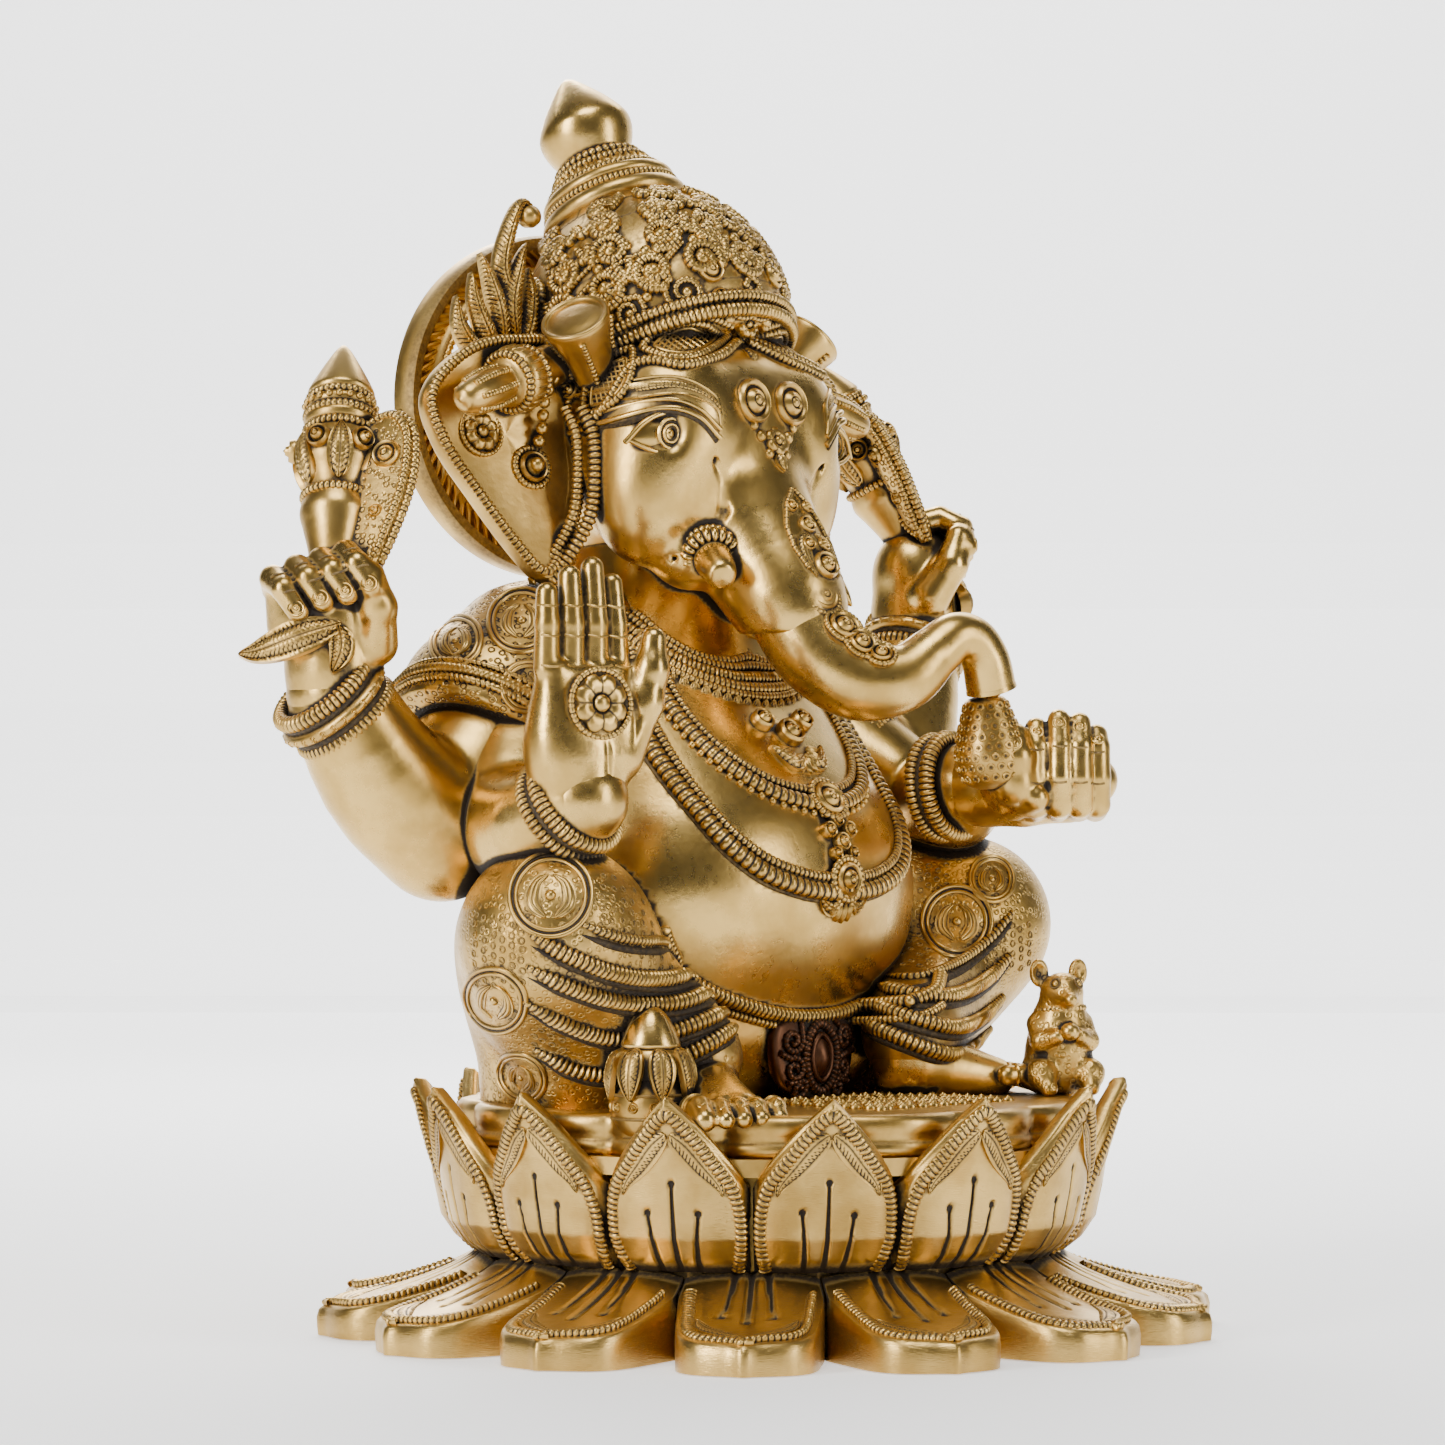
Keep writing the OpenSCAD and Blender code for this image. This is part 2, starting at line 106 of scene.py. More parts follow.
def circle(centre, axis, radius, step=0.6):
    u, v = frame_of(axis)
    n = max(int(radius * TAU / step), 6)
    a = TAU * np.arange(n) / n
    return vec(centre) + radius * (np.cos(a)[:, None] * u + np.sin(a)[:, None] * v)


def ease(x, low, high):
    x = np.clip((x - low) / (high - low), 0, 1)
    return x * x * (3 - 2 * x)


def bump(x, centre, width):
    return np.exp(-((x - centre) / width) ** 2)


# ------------------------------------------------------------------ meshes

class Piece:
    """Vertices with an ink value each, 1 where an engraving is dark and on painted shadow strips, quads and
    triangles.
    """

    def __init__(self):
        self.verts, self.ink, self.grain, self.quads, self.tris = [], [], [], [], []
        self.count = 0

    def add(self, verts, quads=None, tris=None, ink=0.0, grain=0.0):
        verts = np.asarray(verts, float).reshape(-1, 3)
        self.verts.append(verts)
        self.ink.append(np.broadcast_to(ink, (len(verts),)).astype(float))
        self.grain.append(np.broadcast_to(grain, (len(verts),)).astype(float))
        if quads is not None and len(quads):
            self.quads.append(np.asarray(quads) + self.count)
        if tris is not None and len(tris):
            self.tris.append(np.asarray(tris) + self.count)
        self.count += len(verts)

    def arrays(self):
        quads = np.vstack(self.quads) if self.quads else np.zeros((0, 4), int)
        tris = np.vstack(self.tris) if self.tris else np.zeros((0, 3), int)
        return np.vstack(self.verts), quads, tris

    def tree(self):
        verts, quads, tris = self.arrays()
        return BVHTree.FromPolygons(verts.tolist(), quads.tolist() + tris.tolist())


def grid_quads(rows, cols, wrap=False, flip=False):
    """Quads over a rows x cols grid of vertices; wrap joins the last column to the first."""
    j = np.arange(cols if wrap else cols - 1)
    i = np.arange(rows - 1)[:, None]
    a = i * cols + j
    b = i * cols + (j + 1) % cols
    q = np.stack([a, b, b + cols, a + cols], axis=-1).reshape(-1, 4)
    return q[:, ::-1] if flip else q


def fan(ring, centre, flip=False):
    """Triangles from a ring of vertex numbers to a centre vertex."""
    a = np.asarray(ring)
    b = np.roll(a, -1)
    c = np.full_like(a, centre)
    return np.stack([b, a, c] if flip else [a, b, c], axis=1)


def frames_along(path, closed, hint):
    d = np.gradient(path, axis=0)
    if closed:
        d = np.roll(path, -1, 0) - np.roll(path, 1, 0)
    t = unit(d)
    side = np.empty_like(path)
    s = frame_of(t[0], hint)[0]
    for i in range(len(path)):
        s = s - t[i] * np.dot(s, t[i])
        s = s / max(np.linalg.norm(s), 1e-9)
        side[i] = s
    over = np.cross(t, side)
    if closed:
        # spread the twist left over at the join along the loop
        s = side[-1] - t[0] * np.dot(side[-1], t[0])
        turn = math.atan2(np.dot(s, over[0]), np.dot(s, side[0]))
        a = -turn * np.arange(len(path)) / len(path)
        side, over = (side * np.cos(a)[:, None] + over * np.sin(a)[:, None],
                      over * np.cos(a)[:, None] - side * np.sin(a)[:, None])
    return t, side, over


def rope(piece, path, r, pitch=1.7, depth=0.28, sides=8, closed=False, slant=0.0,
         flat=1.0, hint=(0, 0, 1)):
    """Tube along a path. A pitch cuts it across like milled cord, dark in the cuts."""
    path = np.asarray(path, float)
    n = len(path)
    t, side, over = frames_along(path, closed, hint)
    r = np.broadcast_to(r, (n,)).astype(float)
    step = np.linalg.norm(np.diff(path, axis=0), axis=1)
    s = np.concatenate([[0], np.cumsum(step)])
    a = TAU * np.arange(sides) / sides
    cut = np.zeros((n, sides))
    if pitch:
        if closed:
            pitch = (s[-1] + step[0]) / max(round((s[-1] + step[0]) / pitch), 1)
        phase = TAU * s[:, None] / pitch + slant * a[None, :]
        cut = (0.5 - 0.5 * np.cos(phase)) ** 2
    rr = r[:, None] * (1 - depth * cut)
    ring = (path[:, None, :] + side[:, None, :] * (rr * np.cos(a))[..., None]
            + over[:, None, :] * (rr * flat * np.sin(a))[..., None])
    verts = ring.reshape(-1, 3)
    ink = (cut * 0.95).reshape(-1)
    quads = grid_quads(n, sides, wrap=True)
    if closed:
        last = np.arange(sides) + (n - 1) * sides
        first = np.arange(sides)
        quads = np.vstack([quads, np.stack([last, np.roll(last, -1), np.roll(first, -1), first], 1)])
        piece.add(verts, quads, ink=ink)
        return
    ends = np.array([path[0] - t[0] * r[0] * 0.5, path[-1] + t[-1] * r[-1] * 0.5])
    tris = np.vstack([fan(np.arange(sides), n * sides, flip=True),
                      fan(np.arange(sides) + (n - 1) * sides, n * sides + 1)])
    piece.add(np.vstack([verts, ends]), quads, tris, np.concatenate([ink, [0, 0]]))


def lathe(piece, profile, origin, axis, sides=40, ripple=None, ink=None):
    """Turned shape from [radius, height] pairs along axis. ripple(angle, i) scales a radius."""
    profile = np.asarray(profile, float)
    u, v = frame_of(axis)
    w = unit(axis)
    a = TAU * np.arange(sides) / sides
    rows, marks = [], []
    for i, (r, h) in enumerate(profile):
        rr = np.full(sides, max(r, 0.02))
        if ripple is not None:
            rr = rr * ripple(a, i)
        rows.append(vec(origin) + w * h + u * (rr * np.cos(a))[:, None]
                    + v * (rr * np.sin(a))[:, None])
        marks.append(np.zeros(sides) if ink is None else np.broadcast_to(ink(a, i), (sides,)))
    n = len(rows)
    verts = np.vstack(rows + [vec(origin) + w * profile[0, 1], vec(origin) + w * profile[-1, 1]])
    tris = np.vstack([fan(np.arange(sides), n * sides, flip=True),
                      fan(np.arange(sides) + (n - 1) * sides, n * sides + 1)])
    piece.add(verts, grid_quads(n, sides, wrap=True), tris, np.concatenate(marks + [[0, 0]]))


def ball(piece, centre, r, axis=(0, 0, 1), flat=1.0, sides=12):
    a = np.linspace(-0.48, 0.48, 7) * math.pi
    profile = np.stack([r * np.cos(a), r * flat * np.sin(a)], axis=1)
    lathe(piece, profile, centre, axis, sides)


def beads(piece, path, r, pitch, sides=10):
    """Row of small balls along a path."""
    path = np.asarray(path, float)
    run = np.concatenate([[0], np.cumsum(np.linalg.norm(np.diff(path, axis=0), axis=1))])
    count = max(int(run[-1] / pitch), 1)
    at = (np.arange(count) + 0.5) * run[-1] / count
    for p in np.stack([np.interp(at, run, path[:, k]) for k in range(3)], axis=1):
        ball(piece, p, r, sides=sides)


def boss(piece, centre, normal, r, h=1.6, sides=26):
    """Round ornament: raised rim, dark groove and domed middle."""
    profile = [[r * 0.9, -1.2], [r, 0], [r * 0.97, h * 0.6], [r * 0.86, h], [r * 0.74, h * 0.85],
               [r * 0.66, h * 0.25], [r * 0.58, h * 0.3], [r * 0.5, h * 1.0], [r * 0.34, h * 1.45],
               [r * 0.24, h * 1.15], [r * 0.17, h * 1.5], [0.05, h * 1.7]]
    dark = {5: 0.95, 6: 0.6, 9: 0.5}
    lathe(piece, profile, centre, normal, sides, ink=lambda a, i: dark.get(i, 0.0))


def leaf(piece, path, normal, width, height=1.0, sink=1.0, ribs=1.6, power=0.8, rim=True,
         across=13):
    """Leaf or feather along a path: pointed ends, a middle vein, slanting cuts, a raised rim."""
    path = curve(path, max(0.45, ribs / 4 if ribs else 0.6))
    n = len(path)
    normal = np.atleast_2d(unit(normal))
    pick = np.linspace(0, len(normal) - 1, n).round().astype(int)
    normal = normal[pick]
    t = unit(np.gradient(path, axis=0))
    side = unit(np.cross(normal, t))
    s = np.linspace(0, 1, n)
    run = s * np.linalg.norm(np.diff(path, axis=0), axis=1).sum()
    half = width * np.sin(math.pi * np.clip(s, 0, 1) ** power) ** 0.75 + 0.06
    x = np.linspace(-1, 1, across)
    lift = height * (1 - np.abs(x)[None, :] ** 2.2) * (0.35 + 0.65 * (half / max(width, 1e-6)))[:, None]
    ink = np.zeros((n, across))
    if ribs:
        phase = TAU * (run[:, None] - np.abs(x)[None, :] * half[:, None] * 0.9) / ribs
        cut = (0.5 - 0.5 * np.cos(phase)) ** 2 * ease(np.abs(x)[None, :], 0.1, 0.3)
        if rim:
            cut = cut * (1 - ease(np.abs(x)[None, :], 0.68, 0.8))
        lift = lift - cut * height * 0.35
        ink = np.maximum(ink, cut * 0.85)
    if rim:
        edge = bump(np.abs(x), 0.72, 0.09)[None, :]
        lift = lift + height * 0.35 * ease(np.abs(x), 0.78, 0.9)[None, :] - edge * height * 0.3
        ink = np.maximum(ink, edge * 0.8)
    vein = bump(x, 0, 0.12)[None, :]
    lift = lift - vein * height * 0.3
    ink = np.maximum(ink, vein * 0.6)
    top = (path[:, None] + side[:, None] * (half[:, None] * x[None, :])[..., None]
           + normal[:, None] * lift[..., None])
    low = (path[:, None] + side[:, None] * (half[:, None] * x[None, :] * 0.96)[..., None]
           - normal[:, None] * sink)
    ring = np.concatenate([top, low[:, ::-1]], axis=1)
    sides = across * 2
    verts = ring.reshape(-1, 3)
    marks = np.concatenate([ink, np.zeros_like(ink)], axis=1).reshape(-1)
    ends = np.array([path[0], path[-1]])
    tris = np.vstack([fan(np.arange(sides), n * sides),
                      fan(np.arange(sides) + (n - 1) * sides, n * sides + 1, flip=True)])
    piece.add(np.vstack([verts, ends]), grid_quads(n, sides, wrap=True, flip=True), tris,
              np.concatenate([marks, [0, 0]]))


def snap(points, tree, lift=0.0):
    """Nearest surface points, lifted along the surface's normal, and those normals."""
    out, normals = [], []
    for p in np.asarray(points, float):
        hit, n, _, _ = tree.find_nearest(Vector(p))
        out.append(np.array(hit) + np.array(n) * lift)
        normals.append(np.array(n))
    return np.array(out), np.array(normals)


def land(start, direction, tree):
    """Where a straight line meets a surface, or the surface's point nearest to the line."""
    hit, n, _, _ = tree.ray_cast(Vector(start), Vector(direction))
    if hit is None:
        along = [tree.find_nearest(Vector(start + direction * s)) for s in np.arange(0, 360, 5)]
        hit, n, _, _ = min(along, key=lambda found: found[3])
    return np.array(hit), np.array(n)


def drop(points, direction, tree, lift=0.0):
    """Where each point lands when it travels along direction onto a surface."""
    d = unit(direction)
    found = [land(p, d, tree) for p in np.asarray(points, float)]
    return np.array([hit + n * lift for hit, n in found])


# ------------------------------------------------------------------ clay

CORNERS = np.array([[i, j, k] for i in (0, 1) for j in (0, 1) for k in (0, 1)])
EDGES = [(a, b) for a in range(8) for b in range(a + 1, 8)
         if np.abs(CORNERS[a] - CORNERS[b]).sum() == 1]


class Clay:
    """Signed distances on a grid. Shapes are pressed on or cut away with soft joins."""

    def __init__(self, low, high, cell):
        self.low, self.cell = vec(low), cell
        axes = [np.arange(l, h + cell, cell, dtype=np.float32) for l, h in zip(low, high)]
        self.x = axes[0][:, None, None]
        self.y = axes[1][None, :, None]
        self.z = axes[2][None, None, :]
        self.d = np.full([len(a) for a in axes], 50.0, np.float32)

    def join(self, d, k):
        h = np.maximum(k - np.abs(self.d - d), 0) / k
        self.d = np.minimum(self.d, d) - h * h * k * 0.25

    def carve(self, d, k):
        h = np.maximum(k - np.abs(self.d + d), 0) / k
        self.d = np.maximum(self.d, -d) + h * h * k * 0.25

    def oval(self, centre, radii, turn=0.0):
        """Distance to an ellipsoid, turned about Z by turn degrees."""
        c, s = math.cos(math.radians(turn)), math.sin(math.radians(turn))
        x, y, z = self.x - centre[0], self.y - centre[1], self.z - centre[2]
        x, y = c * x + s * y, c * y - s * x
        a = np.sqrt((x / radii[0]) ** 2 + (y / radii[1]) ** 2 + (z / radii[2]) ** 2)
        b = np.sqrt((x / radii[0] ** 2) ** 2 + (y / radii[1] ** 2) ** 2 + (z / radii[2] ** 2) ** 2)
        return a * (a - 1) / np.maximum(b, 1e-6)

    def cone(self, a, b, ra, rb):
        a, b = vec(a), vec(b)
        ba = b - a
        x, y, z = self.x - a[0], self.y - a[1], self.z - a[2]
        t = np.clip((x * ba[0] + y * ba[1] + z * ba[2]) / max(float(ba @ ba), 1e-9), 0, 1)
        return (np.sqrt((x - t * ba[0]) ** 2 + (y - t * ba[1]) ** 2 + (z - t * ba[2]) ** 2)
                - (ra + t * (rb - ra)))

    def add_oval(self, centre, radii, k=4.0, turn=0.0):
        self.join(self.oval(centre, radii, turn), k)

    def add_limb(self, points, radii, k=2.0):
        for a, b, ra, rb in zip(points[:-1], points[1:], radii[:-1], radii[1:]):
            self.join(self.cone(a, b, ra, rb), k)

    def cut_limb(self, points, radii, k=1.0):
        for a, b, ra, rb in zip(points[:-1], points[1:], radii[:-1], radii[1:]):
            self.carve(self.cone(a, b, ra, rb), k)

    def floor(self, z, k=1.0):
        """Cuts everything below a height."""
        self.carve(self.z - z + 0 * self.x + 0 * self.y, k)

    def mesh(self):
        """Surface nets: one vertex in each cell that the surface crosses."""
        d = self.d
        for axis in range(3):
            edge = [slice(None)] * 3
            for end in (0, -1):
                edge[axis] = end
                d[tuple(edge)] = np.maximum(d[tuple(edge)], 0.1)
        inside = d < 0
        n = np.array(d.shape) - 1
        count = np.zeros(n, np.uint8)
        for i, j, k in CORNERS:
            count += inside[i:i + n[0], j:j + n[1], k:k + n[2]]
        active = (count > 0) & (count < 8)
        cells = np.argwhere(active)
        vals = np.stack([d[tuple((cells + c).T)] for c in CORNERS], axis=1)
        total = np.zeros((len(cells), 3))
        hits = np.zeros(len(cells))
        for a, b in EDGES:
            va, vb = vals[:, a], vals[:, b]
            cross = (va < 0) != (vb < 0)
            t = np.where(cross, va / np.where(cross, va - vb, 1), 0)
            total += np.where(cross[:, None], CORNERS[a] + t[:, None] * (CORNERS[b] - CORNERS[a]), 0)
            hits += cross
        verts = (cells + total / hits[:, None]) * self.cell + self.low
        number = np.full(n, -1, np.int32)
        number[active] = np.arange(len(cells))
        quads = []
        for axis in range(3):
            u, v = (axis + 1) % 3, (axis + 2) % 3
            near, far = [slice(1, -1)] * 3, [slice(1, -1)] * 3
            near[axis], far[axis] = slice(0, -1), slice(1, None)
            s0, s1 = inside[tuple(near)], inside[tuple(far)]
            at = np.argwhere(s0 != s1)
            start = s0[tuple(at.T)]
            at[:, u] += 1
            at[:, v] += 1
            around = []
            for du, dv in ((-1, -1), (0, -1), (0, 0), (-1, 0)):
                c = at.copy()
                c[:, u] += du
                c[:, v] += dv
                around.append(number[tuple(c.T)])
            q = np.stack(around, axis=1)
            q[~start] = q[~start][:, ::-1]
            quads.append(q)
        return verts, np.vstack(quads)


# ------------------------------------------------------------------ materials

def node(tree, kind, **values):
    n = tree.nodes.new(kind)
    for key, value in values.items():
        if hasattr(n, key) and key not in n.inputs:
            setattr(n, key, value)
        else:
            n.inputs[key].default_value = value
    return n


def math_node(tree, op, a, b=None, clamp=False):
    n = tree.nodes.new("ShaderNodeMath")
    n.operation = op
    n.use_clamp = clamp
    for socket, value in zip(n.inputs, (a, b)):
        if value is None:
            continue
        if isinstance(value, (int, float)):
            socket.default_value = value
        else:
            tree.links.new(value, socket)
    return n.outputs[0]


def ramp(tree, value, low, high, out_low=0.0, out_high=1.0):
    n = tree.nodes.new("ShaderNodeMapRange")
    n.interpolation_type = "SMOOTHSTEP"
    n.inputs["From Min"].default_value = low
    n.inputs["From Max"].default_value = high
    n.inputs["To Min"].default_value = out_low
    n.inputs["To Max"].default_value = out_high
    tree.links.new(value, n.inputs["Value"])
    return n.outputs["Result"]


def mix_colour(tree, factor, a, b):
    n = tree.nodes.new("ShaderNodeMix")
    n.data_type = "RGBA"
    tree.links.new(factor, n.inputs["Factor"])
    for socket, value in ((n.inputs[6], a), (n.inputs[7], b)):
        if isinstance(value, tuple):
            socket.default_value = (*value, 1)
        else:
            tree.links.new(value, socket)
    return n.outputs[2]


def noise(tree, coords, scale, detail=3.0, rough=0.55, stretch=None):
    if stretch is not None:
        m = tree.nodes.new("ShaderNodeMapping")
        m.inputs["Scale"].default_value = stretch
        tree.links.new(coords, m.inputs["Vector"])
        coords = m.outputs["Vector"]
    n = tree.nodes.new("ShaderNodeTexNoise")
    n.inputs["Scale"].default_value = scale
    n.inputs["Detail"].default_value = detail
    n.inputs["Roughness"].default_value = rough
    tree.links.new(coords, n.inputs["Vector"])
    return n.outputs["Fac"]


def brass(name, high, low, dark, rough, brushed, stretch=(1, 1, 1)):
    """Cast brass: worn highs, warm lows, and dark oxide where the vertex attribute says; the same dark
    colour also paints the shadow strips under the cloth folds.
    """
    mat = bpy.data.materials.new(name)
    mat.use_nodes = True
    t = mat.node_tree
    shader = t.nodes["Principled BSDF"]
    coords = t.nodes.new("ShaderNodeTexCoord").outputs["Object"]
    wear = node(t, "ShaderNodeAttribute", attribute_name="wear").outputs["Fac"]
    grain = node(t, "ShaderNodeAttribute", attribute_name="grain").outputs["Fac"]
    cloud = noise(t, coords, 60, 4)
    speck = noise(t, coords, 900, 4, 0.6)
    scratch = noise(t, coords, 500, 2, 0.5, stretch)

    # punched rings and pits where the cloth is chased
    cells = t.nodes.new("ShaderNodeTexVoronoi")
    cells.inputs["Scale"].default_value = 430
    cells.inputs["Randomness"].default_value = 0.55
    t.links.new(coords, cells.inputs["Vector"])
    gap = math_node(t, "SUBTRACT", cells.outputs["Distance"], 0.36)
    ring = math_node(t, "SUBTRACT", 1.0, math_node(t, "MULTIPLY", math_node(t, "ABSOLUTE", gap), 7.0),
                     clamp=True)
    punched = math_node(t, "MULTIPLY", ring, grain)

    depth = math_node(t, "ADD", wear, math_node(t, "MULTIPLY", punched, 0.62))
    depth = math_node(t, "ADD", depth, math_node(t, "MULTIPLY", math_node(t, "SUBTRACT", speck, 0.5), 0.35))
    # dark mask: real oxide in hollows and engravings, and also the painted shadow strips that ride on the
    # same attribute
    oxide_and_painted_shade = ramp(t, depth, 0.16, 0.72)
    tone = mix_colour(t, ramp(t, cloud, 0.3, 0.7), high, low)
    colour = mix_colour(t, oxide_and_painted_shade, tone, dark)
    t.links.new(colour, shader.inputs["Base Color"])
    t.links.new(math_node(t, "SUBTRACT", 1.0, math_node(t, "MULTIPLY", oxide_and_painted_shade, 0.75)),
                shader.inputs["Metallic"])
    shine = math_node(t, "ADD", math_node(t, "MULTIPLY", oxide_and_painted_shade, 0.32),
                      ramp(t, cloud, 0.3, 0.75, rough, rough + 0.09))
    shine = math_node(t, "ADD", shine, math_node(t, "MULTIPLY", math_node(t, "SUBTRACT", scratch, 0.5),
                                                 0.10))
    t.links.new(shine, shader.inputs["Roughness"])

    height = math_node(t, "ADD", math_node(t, "MULTIPLY", speck, 0.10),
                       math_node(t, "MULTIPLY", scratch, brushed * 4))
    height = math_node(t, "SUBTRACT", height, math_node(t, "MULTIPLY", punched, 1.5))
    b = t.nodes.new("ShaderNodeBump")
    b.inputs["Strength"].default_value = 0.5
    b.inputs["Distance"].default_value = 0.0004
    t.links.new(height, b.inputs["Height"])
    t.links.new(b.outputs["Normal"], shader.inputs["Normal"])
    return mat


GOLD = (0.76, 0.50, 0.15)
HONEY = (0.55, 0.345, 0.09)
# dark colour for oxide in hollows, also used for the painted shadow strips under the cloth folds
OXIDE_AND_SHADE = (0.020, 0.012, 0.006)
POLISHED = brass("polished_brass", GOLD, HONEY, OXIDE_AND_SHADE, 0.25, 0.06)
CHASED = brass("chased_brass", (0.70, 0.455, 0.135), (0.46, 0.28, 0.07), OXIDE_AND_SHADE, 0.31, 0.07)
BRUSHED = brass("brushed_brass", (0.68, 0.45, 0.14), (0.48, 0.30, 0.08), OXIDE_AND_SHADE, 0.29, 0.12,
                stretch=(1, 1, 9))
PATINA = brass("patina_brass", (0.13, 0.06, 0.032), (0.07, 0.032, 0.018), OXIDE_AND_SHADE, 0.36, 0.06)
LOOK = {"polished_brass": POLISHED, "antiqued_brass": CHASED, "patina_brass": PATINA}

MADE = []
SHARP_EDGE = 55.0   # degrees between two faces


def build(name, piece, body, nodes=(), slot="antiqued_brass", look=None):
    """Turns a Piece into a Blender object that rides on a body and stands for CAD nodes."""
    verts, quads, tris = piece.arrays()
    mesh = bpy.data.meshes.new(name)
    mesh.vertices.add(len(verts))
    mesh.vertices.foreach_set("co", (verts * MM).astype(np.float32).ravel())
    loops = np.concatenate([quads.ravel(), tris.ravel()]).astype(np.int32)
    starts = np.concatenate([np.arange(len(quads)) * 4, quads.size + np.arange(len(tris)) * 3])
    mesh.loops.add(len(loops))
    mesh.loops.foreach_set("vertex_index", loops)
    mesh.polygons.add(len(starts))
    mesh.polygons.foreach_set("loop_start", starts.astype(np.int32))
    mesh.update(calc_edges=True)
    mesh.polygons.foreach_set("use_smooth", np.ones(len(starts), bool))
    mesh.set_sharp_from_angle(angle=math.radians(SHARP_EDGE))
    # ink goes into this attribute, painted shadow strips included; weather() adds the patina later
    for name_of, parts in (("wear", piece.ink), ("grain", piece.grain)):
        layer = mesh.attributes.new(name_of, "FLOAT", "POINT")
        layer.data.foreach_set("value", np.concatenate(parts).astype(np.float32))
    obj = bpy.data.objects.new(name, mesh)
    bpy.context.scene.collection.objects.link(obj)
    mesh.materials.append(look or LOOK[slot])
    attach(obj, body)
    if nodes:
        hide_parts(*nodes)
    MADE.append(obj)
    return obj


# ------------------------------------------------------------------ lotus pedestal

PETALS = 14
PITCH = TAU / PETALS
PROFILE_Q = [0.0, 0.08, 0.2, 0.4, 0.65, 0.85, 1.0]
PROFILE_R = [87.5, 92.5, 96.5, 98.6, 100.4, 103.0, 106.8]


def upper_top(s):
    """Height of an upright petal's edge at s, 0 on its middle and 1 at the notch."""
    return 46.5 + 26.5 * np.clip(1 - np.abs(s), 0, 1) ** 0.82


def upper_face(s, z):
    """Radius of the outer face of an upright petal."""
    q = np.clip((z - 24) / 49, 0, 1)
    side = np.abs(s)
    return (np.interp(q, PROFILE_Q, PROFILE_R) - (5.5 - 2 * q) * side ** 4
            - 3.0 * ease(side, 0.86, 1.0) * (1 - 0.5 * q))


def scratch_lines(x, along, start, ends, taper):
    """Three engraved lines that end in drilled dots: depth of the cut, 0 to 1."""
    cut = np.zeros(np.broadcast(x, along).shape)
    for k, end in zip((-1, 0, 1), ends):
        centre = k * (7.4 - taper * np.clip((end - along) / (end - start), 0, 1))
        run = (end - along) / (end - start)
        half = 0.42 + 0.75 * np.clip(run, 0, 1) ** 2
        line = ease(-np.abs(x - centre), -half - 0.35, -half * 0.4) * ((run > 0) & (run < 1.2))
        spot = ease(-np.hypot(x - k * 7.4, along - end), -1.35, -0.7)
        cut = np.maximum(cut, np.maximum(line, spot))
    return cut


def upper_petals(first, last):
    """Upright petals first to last: outer face, plain thick rim and hollow back."""
    piece = Piece()
    cols = 72
    a = np.linspace(-1, 1, cols + 1)[:-1] + 1 / cols
    s1 = np.sign(a) * (0.62 * np.abs(a) + 0.38 * np.abs(a) ** 3)
    face = 62
    for k in range(first, last):
        mid = -math.pi / 2 + (k + 0.5) * PITCH
        rng = np.random.default_rng(40 + k)
        wob = rng.uniform(-0.8, 0.8, 4)
        s = s1
        ang = mid + s * PITCH / 2
        top = upper_top(s) + wob[0] * (1 - np.abs(s))
        v = np.linspace(0, 1, face)[:, None]
        z = 24 + v * (top - 24)
        r = upper_face(s, z)
        x = s * r * PITCH / 2
        ends = (41.5 + wob[1], 50 + wob[2], 41.5 + wob[3])
        cut = scratch_lines(x, z, 24.0, ends, 2.0)
        lift = -1.0 * cut
        edge = (top - z) * 0.62
        lift = lift - 1.5 * ease(-edge, -1.8, 0.0)
        ink = np.maximum(cut, 0.75 * ease(-z, -28.5, -24.5))
        ink = np.maximum(ink, 0.9 * ease(np.abs(s), 0.88, 0.99) * np.ones_like(z))
        rows_r = [r + lift]
        rows_z = [z]
        rows_ink = [ink]
        back = [(-2.2, 0.6, 0), (-5.2, 0.2, 0), (-6.6, -1.2, 0), (-7.4, -6, 0.1), (-8.2, -12, 0.4)]
        tip_r = upper_face(s, top)
        for dr, dz, dark in back:
            zz = np.maximum(top + dz, 40)
            rows_r.append(tip_r[None] + dr + (zz - top - dz) * 0)
            rows_z.append(zz[None])
            rows_ink.append(np.full((1, len(s)), dark))
        for rr, zz in ((93.0, 38.0), (84.0, 24.0)):
            rows_r.append(np.full((1, len(s)), rr))
            rows_z.append(np.full((1, len(s)), zz))
            rows_ink.append(np.full((1, len(s)), 0.8))
        rr, zz, ii = np.vstack(rows_r), np.vstack(rows_z), np.vstack(rows_ink)
        verts = np.stack([rr * np.cos(ang), rr * np.sin(ang), zz], axis=-1)
        piece.add(verts, grid_quads(len(rr), len(s), flip=False), ink=ii.reshape(-1))
    return piece


def petal_point(s, z, k, out=0.0):
    """Point on the outer face of upright petal k."""
    ang = -math.pi / 2 + (k + 0.5) * PITCH + s * PITCH / 2
    r = upper_face(s, z) + out
    return np.stack([r * np.cos(ang), r * np.sin(ang), z + 0 * r], axis=-1)


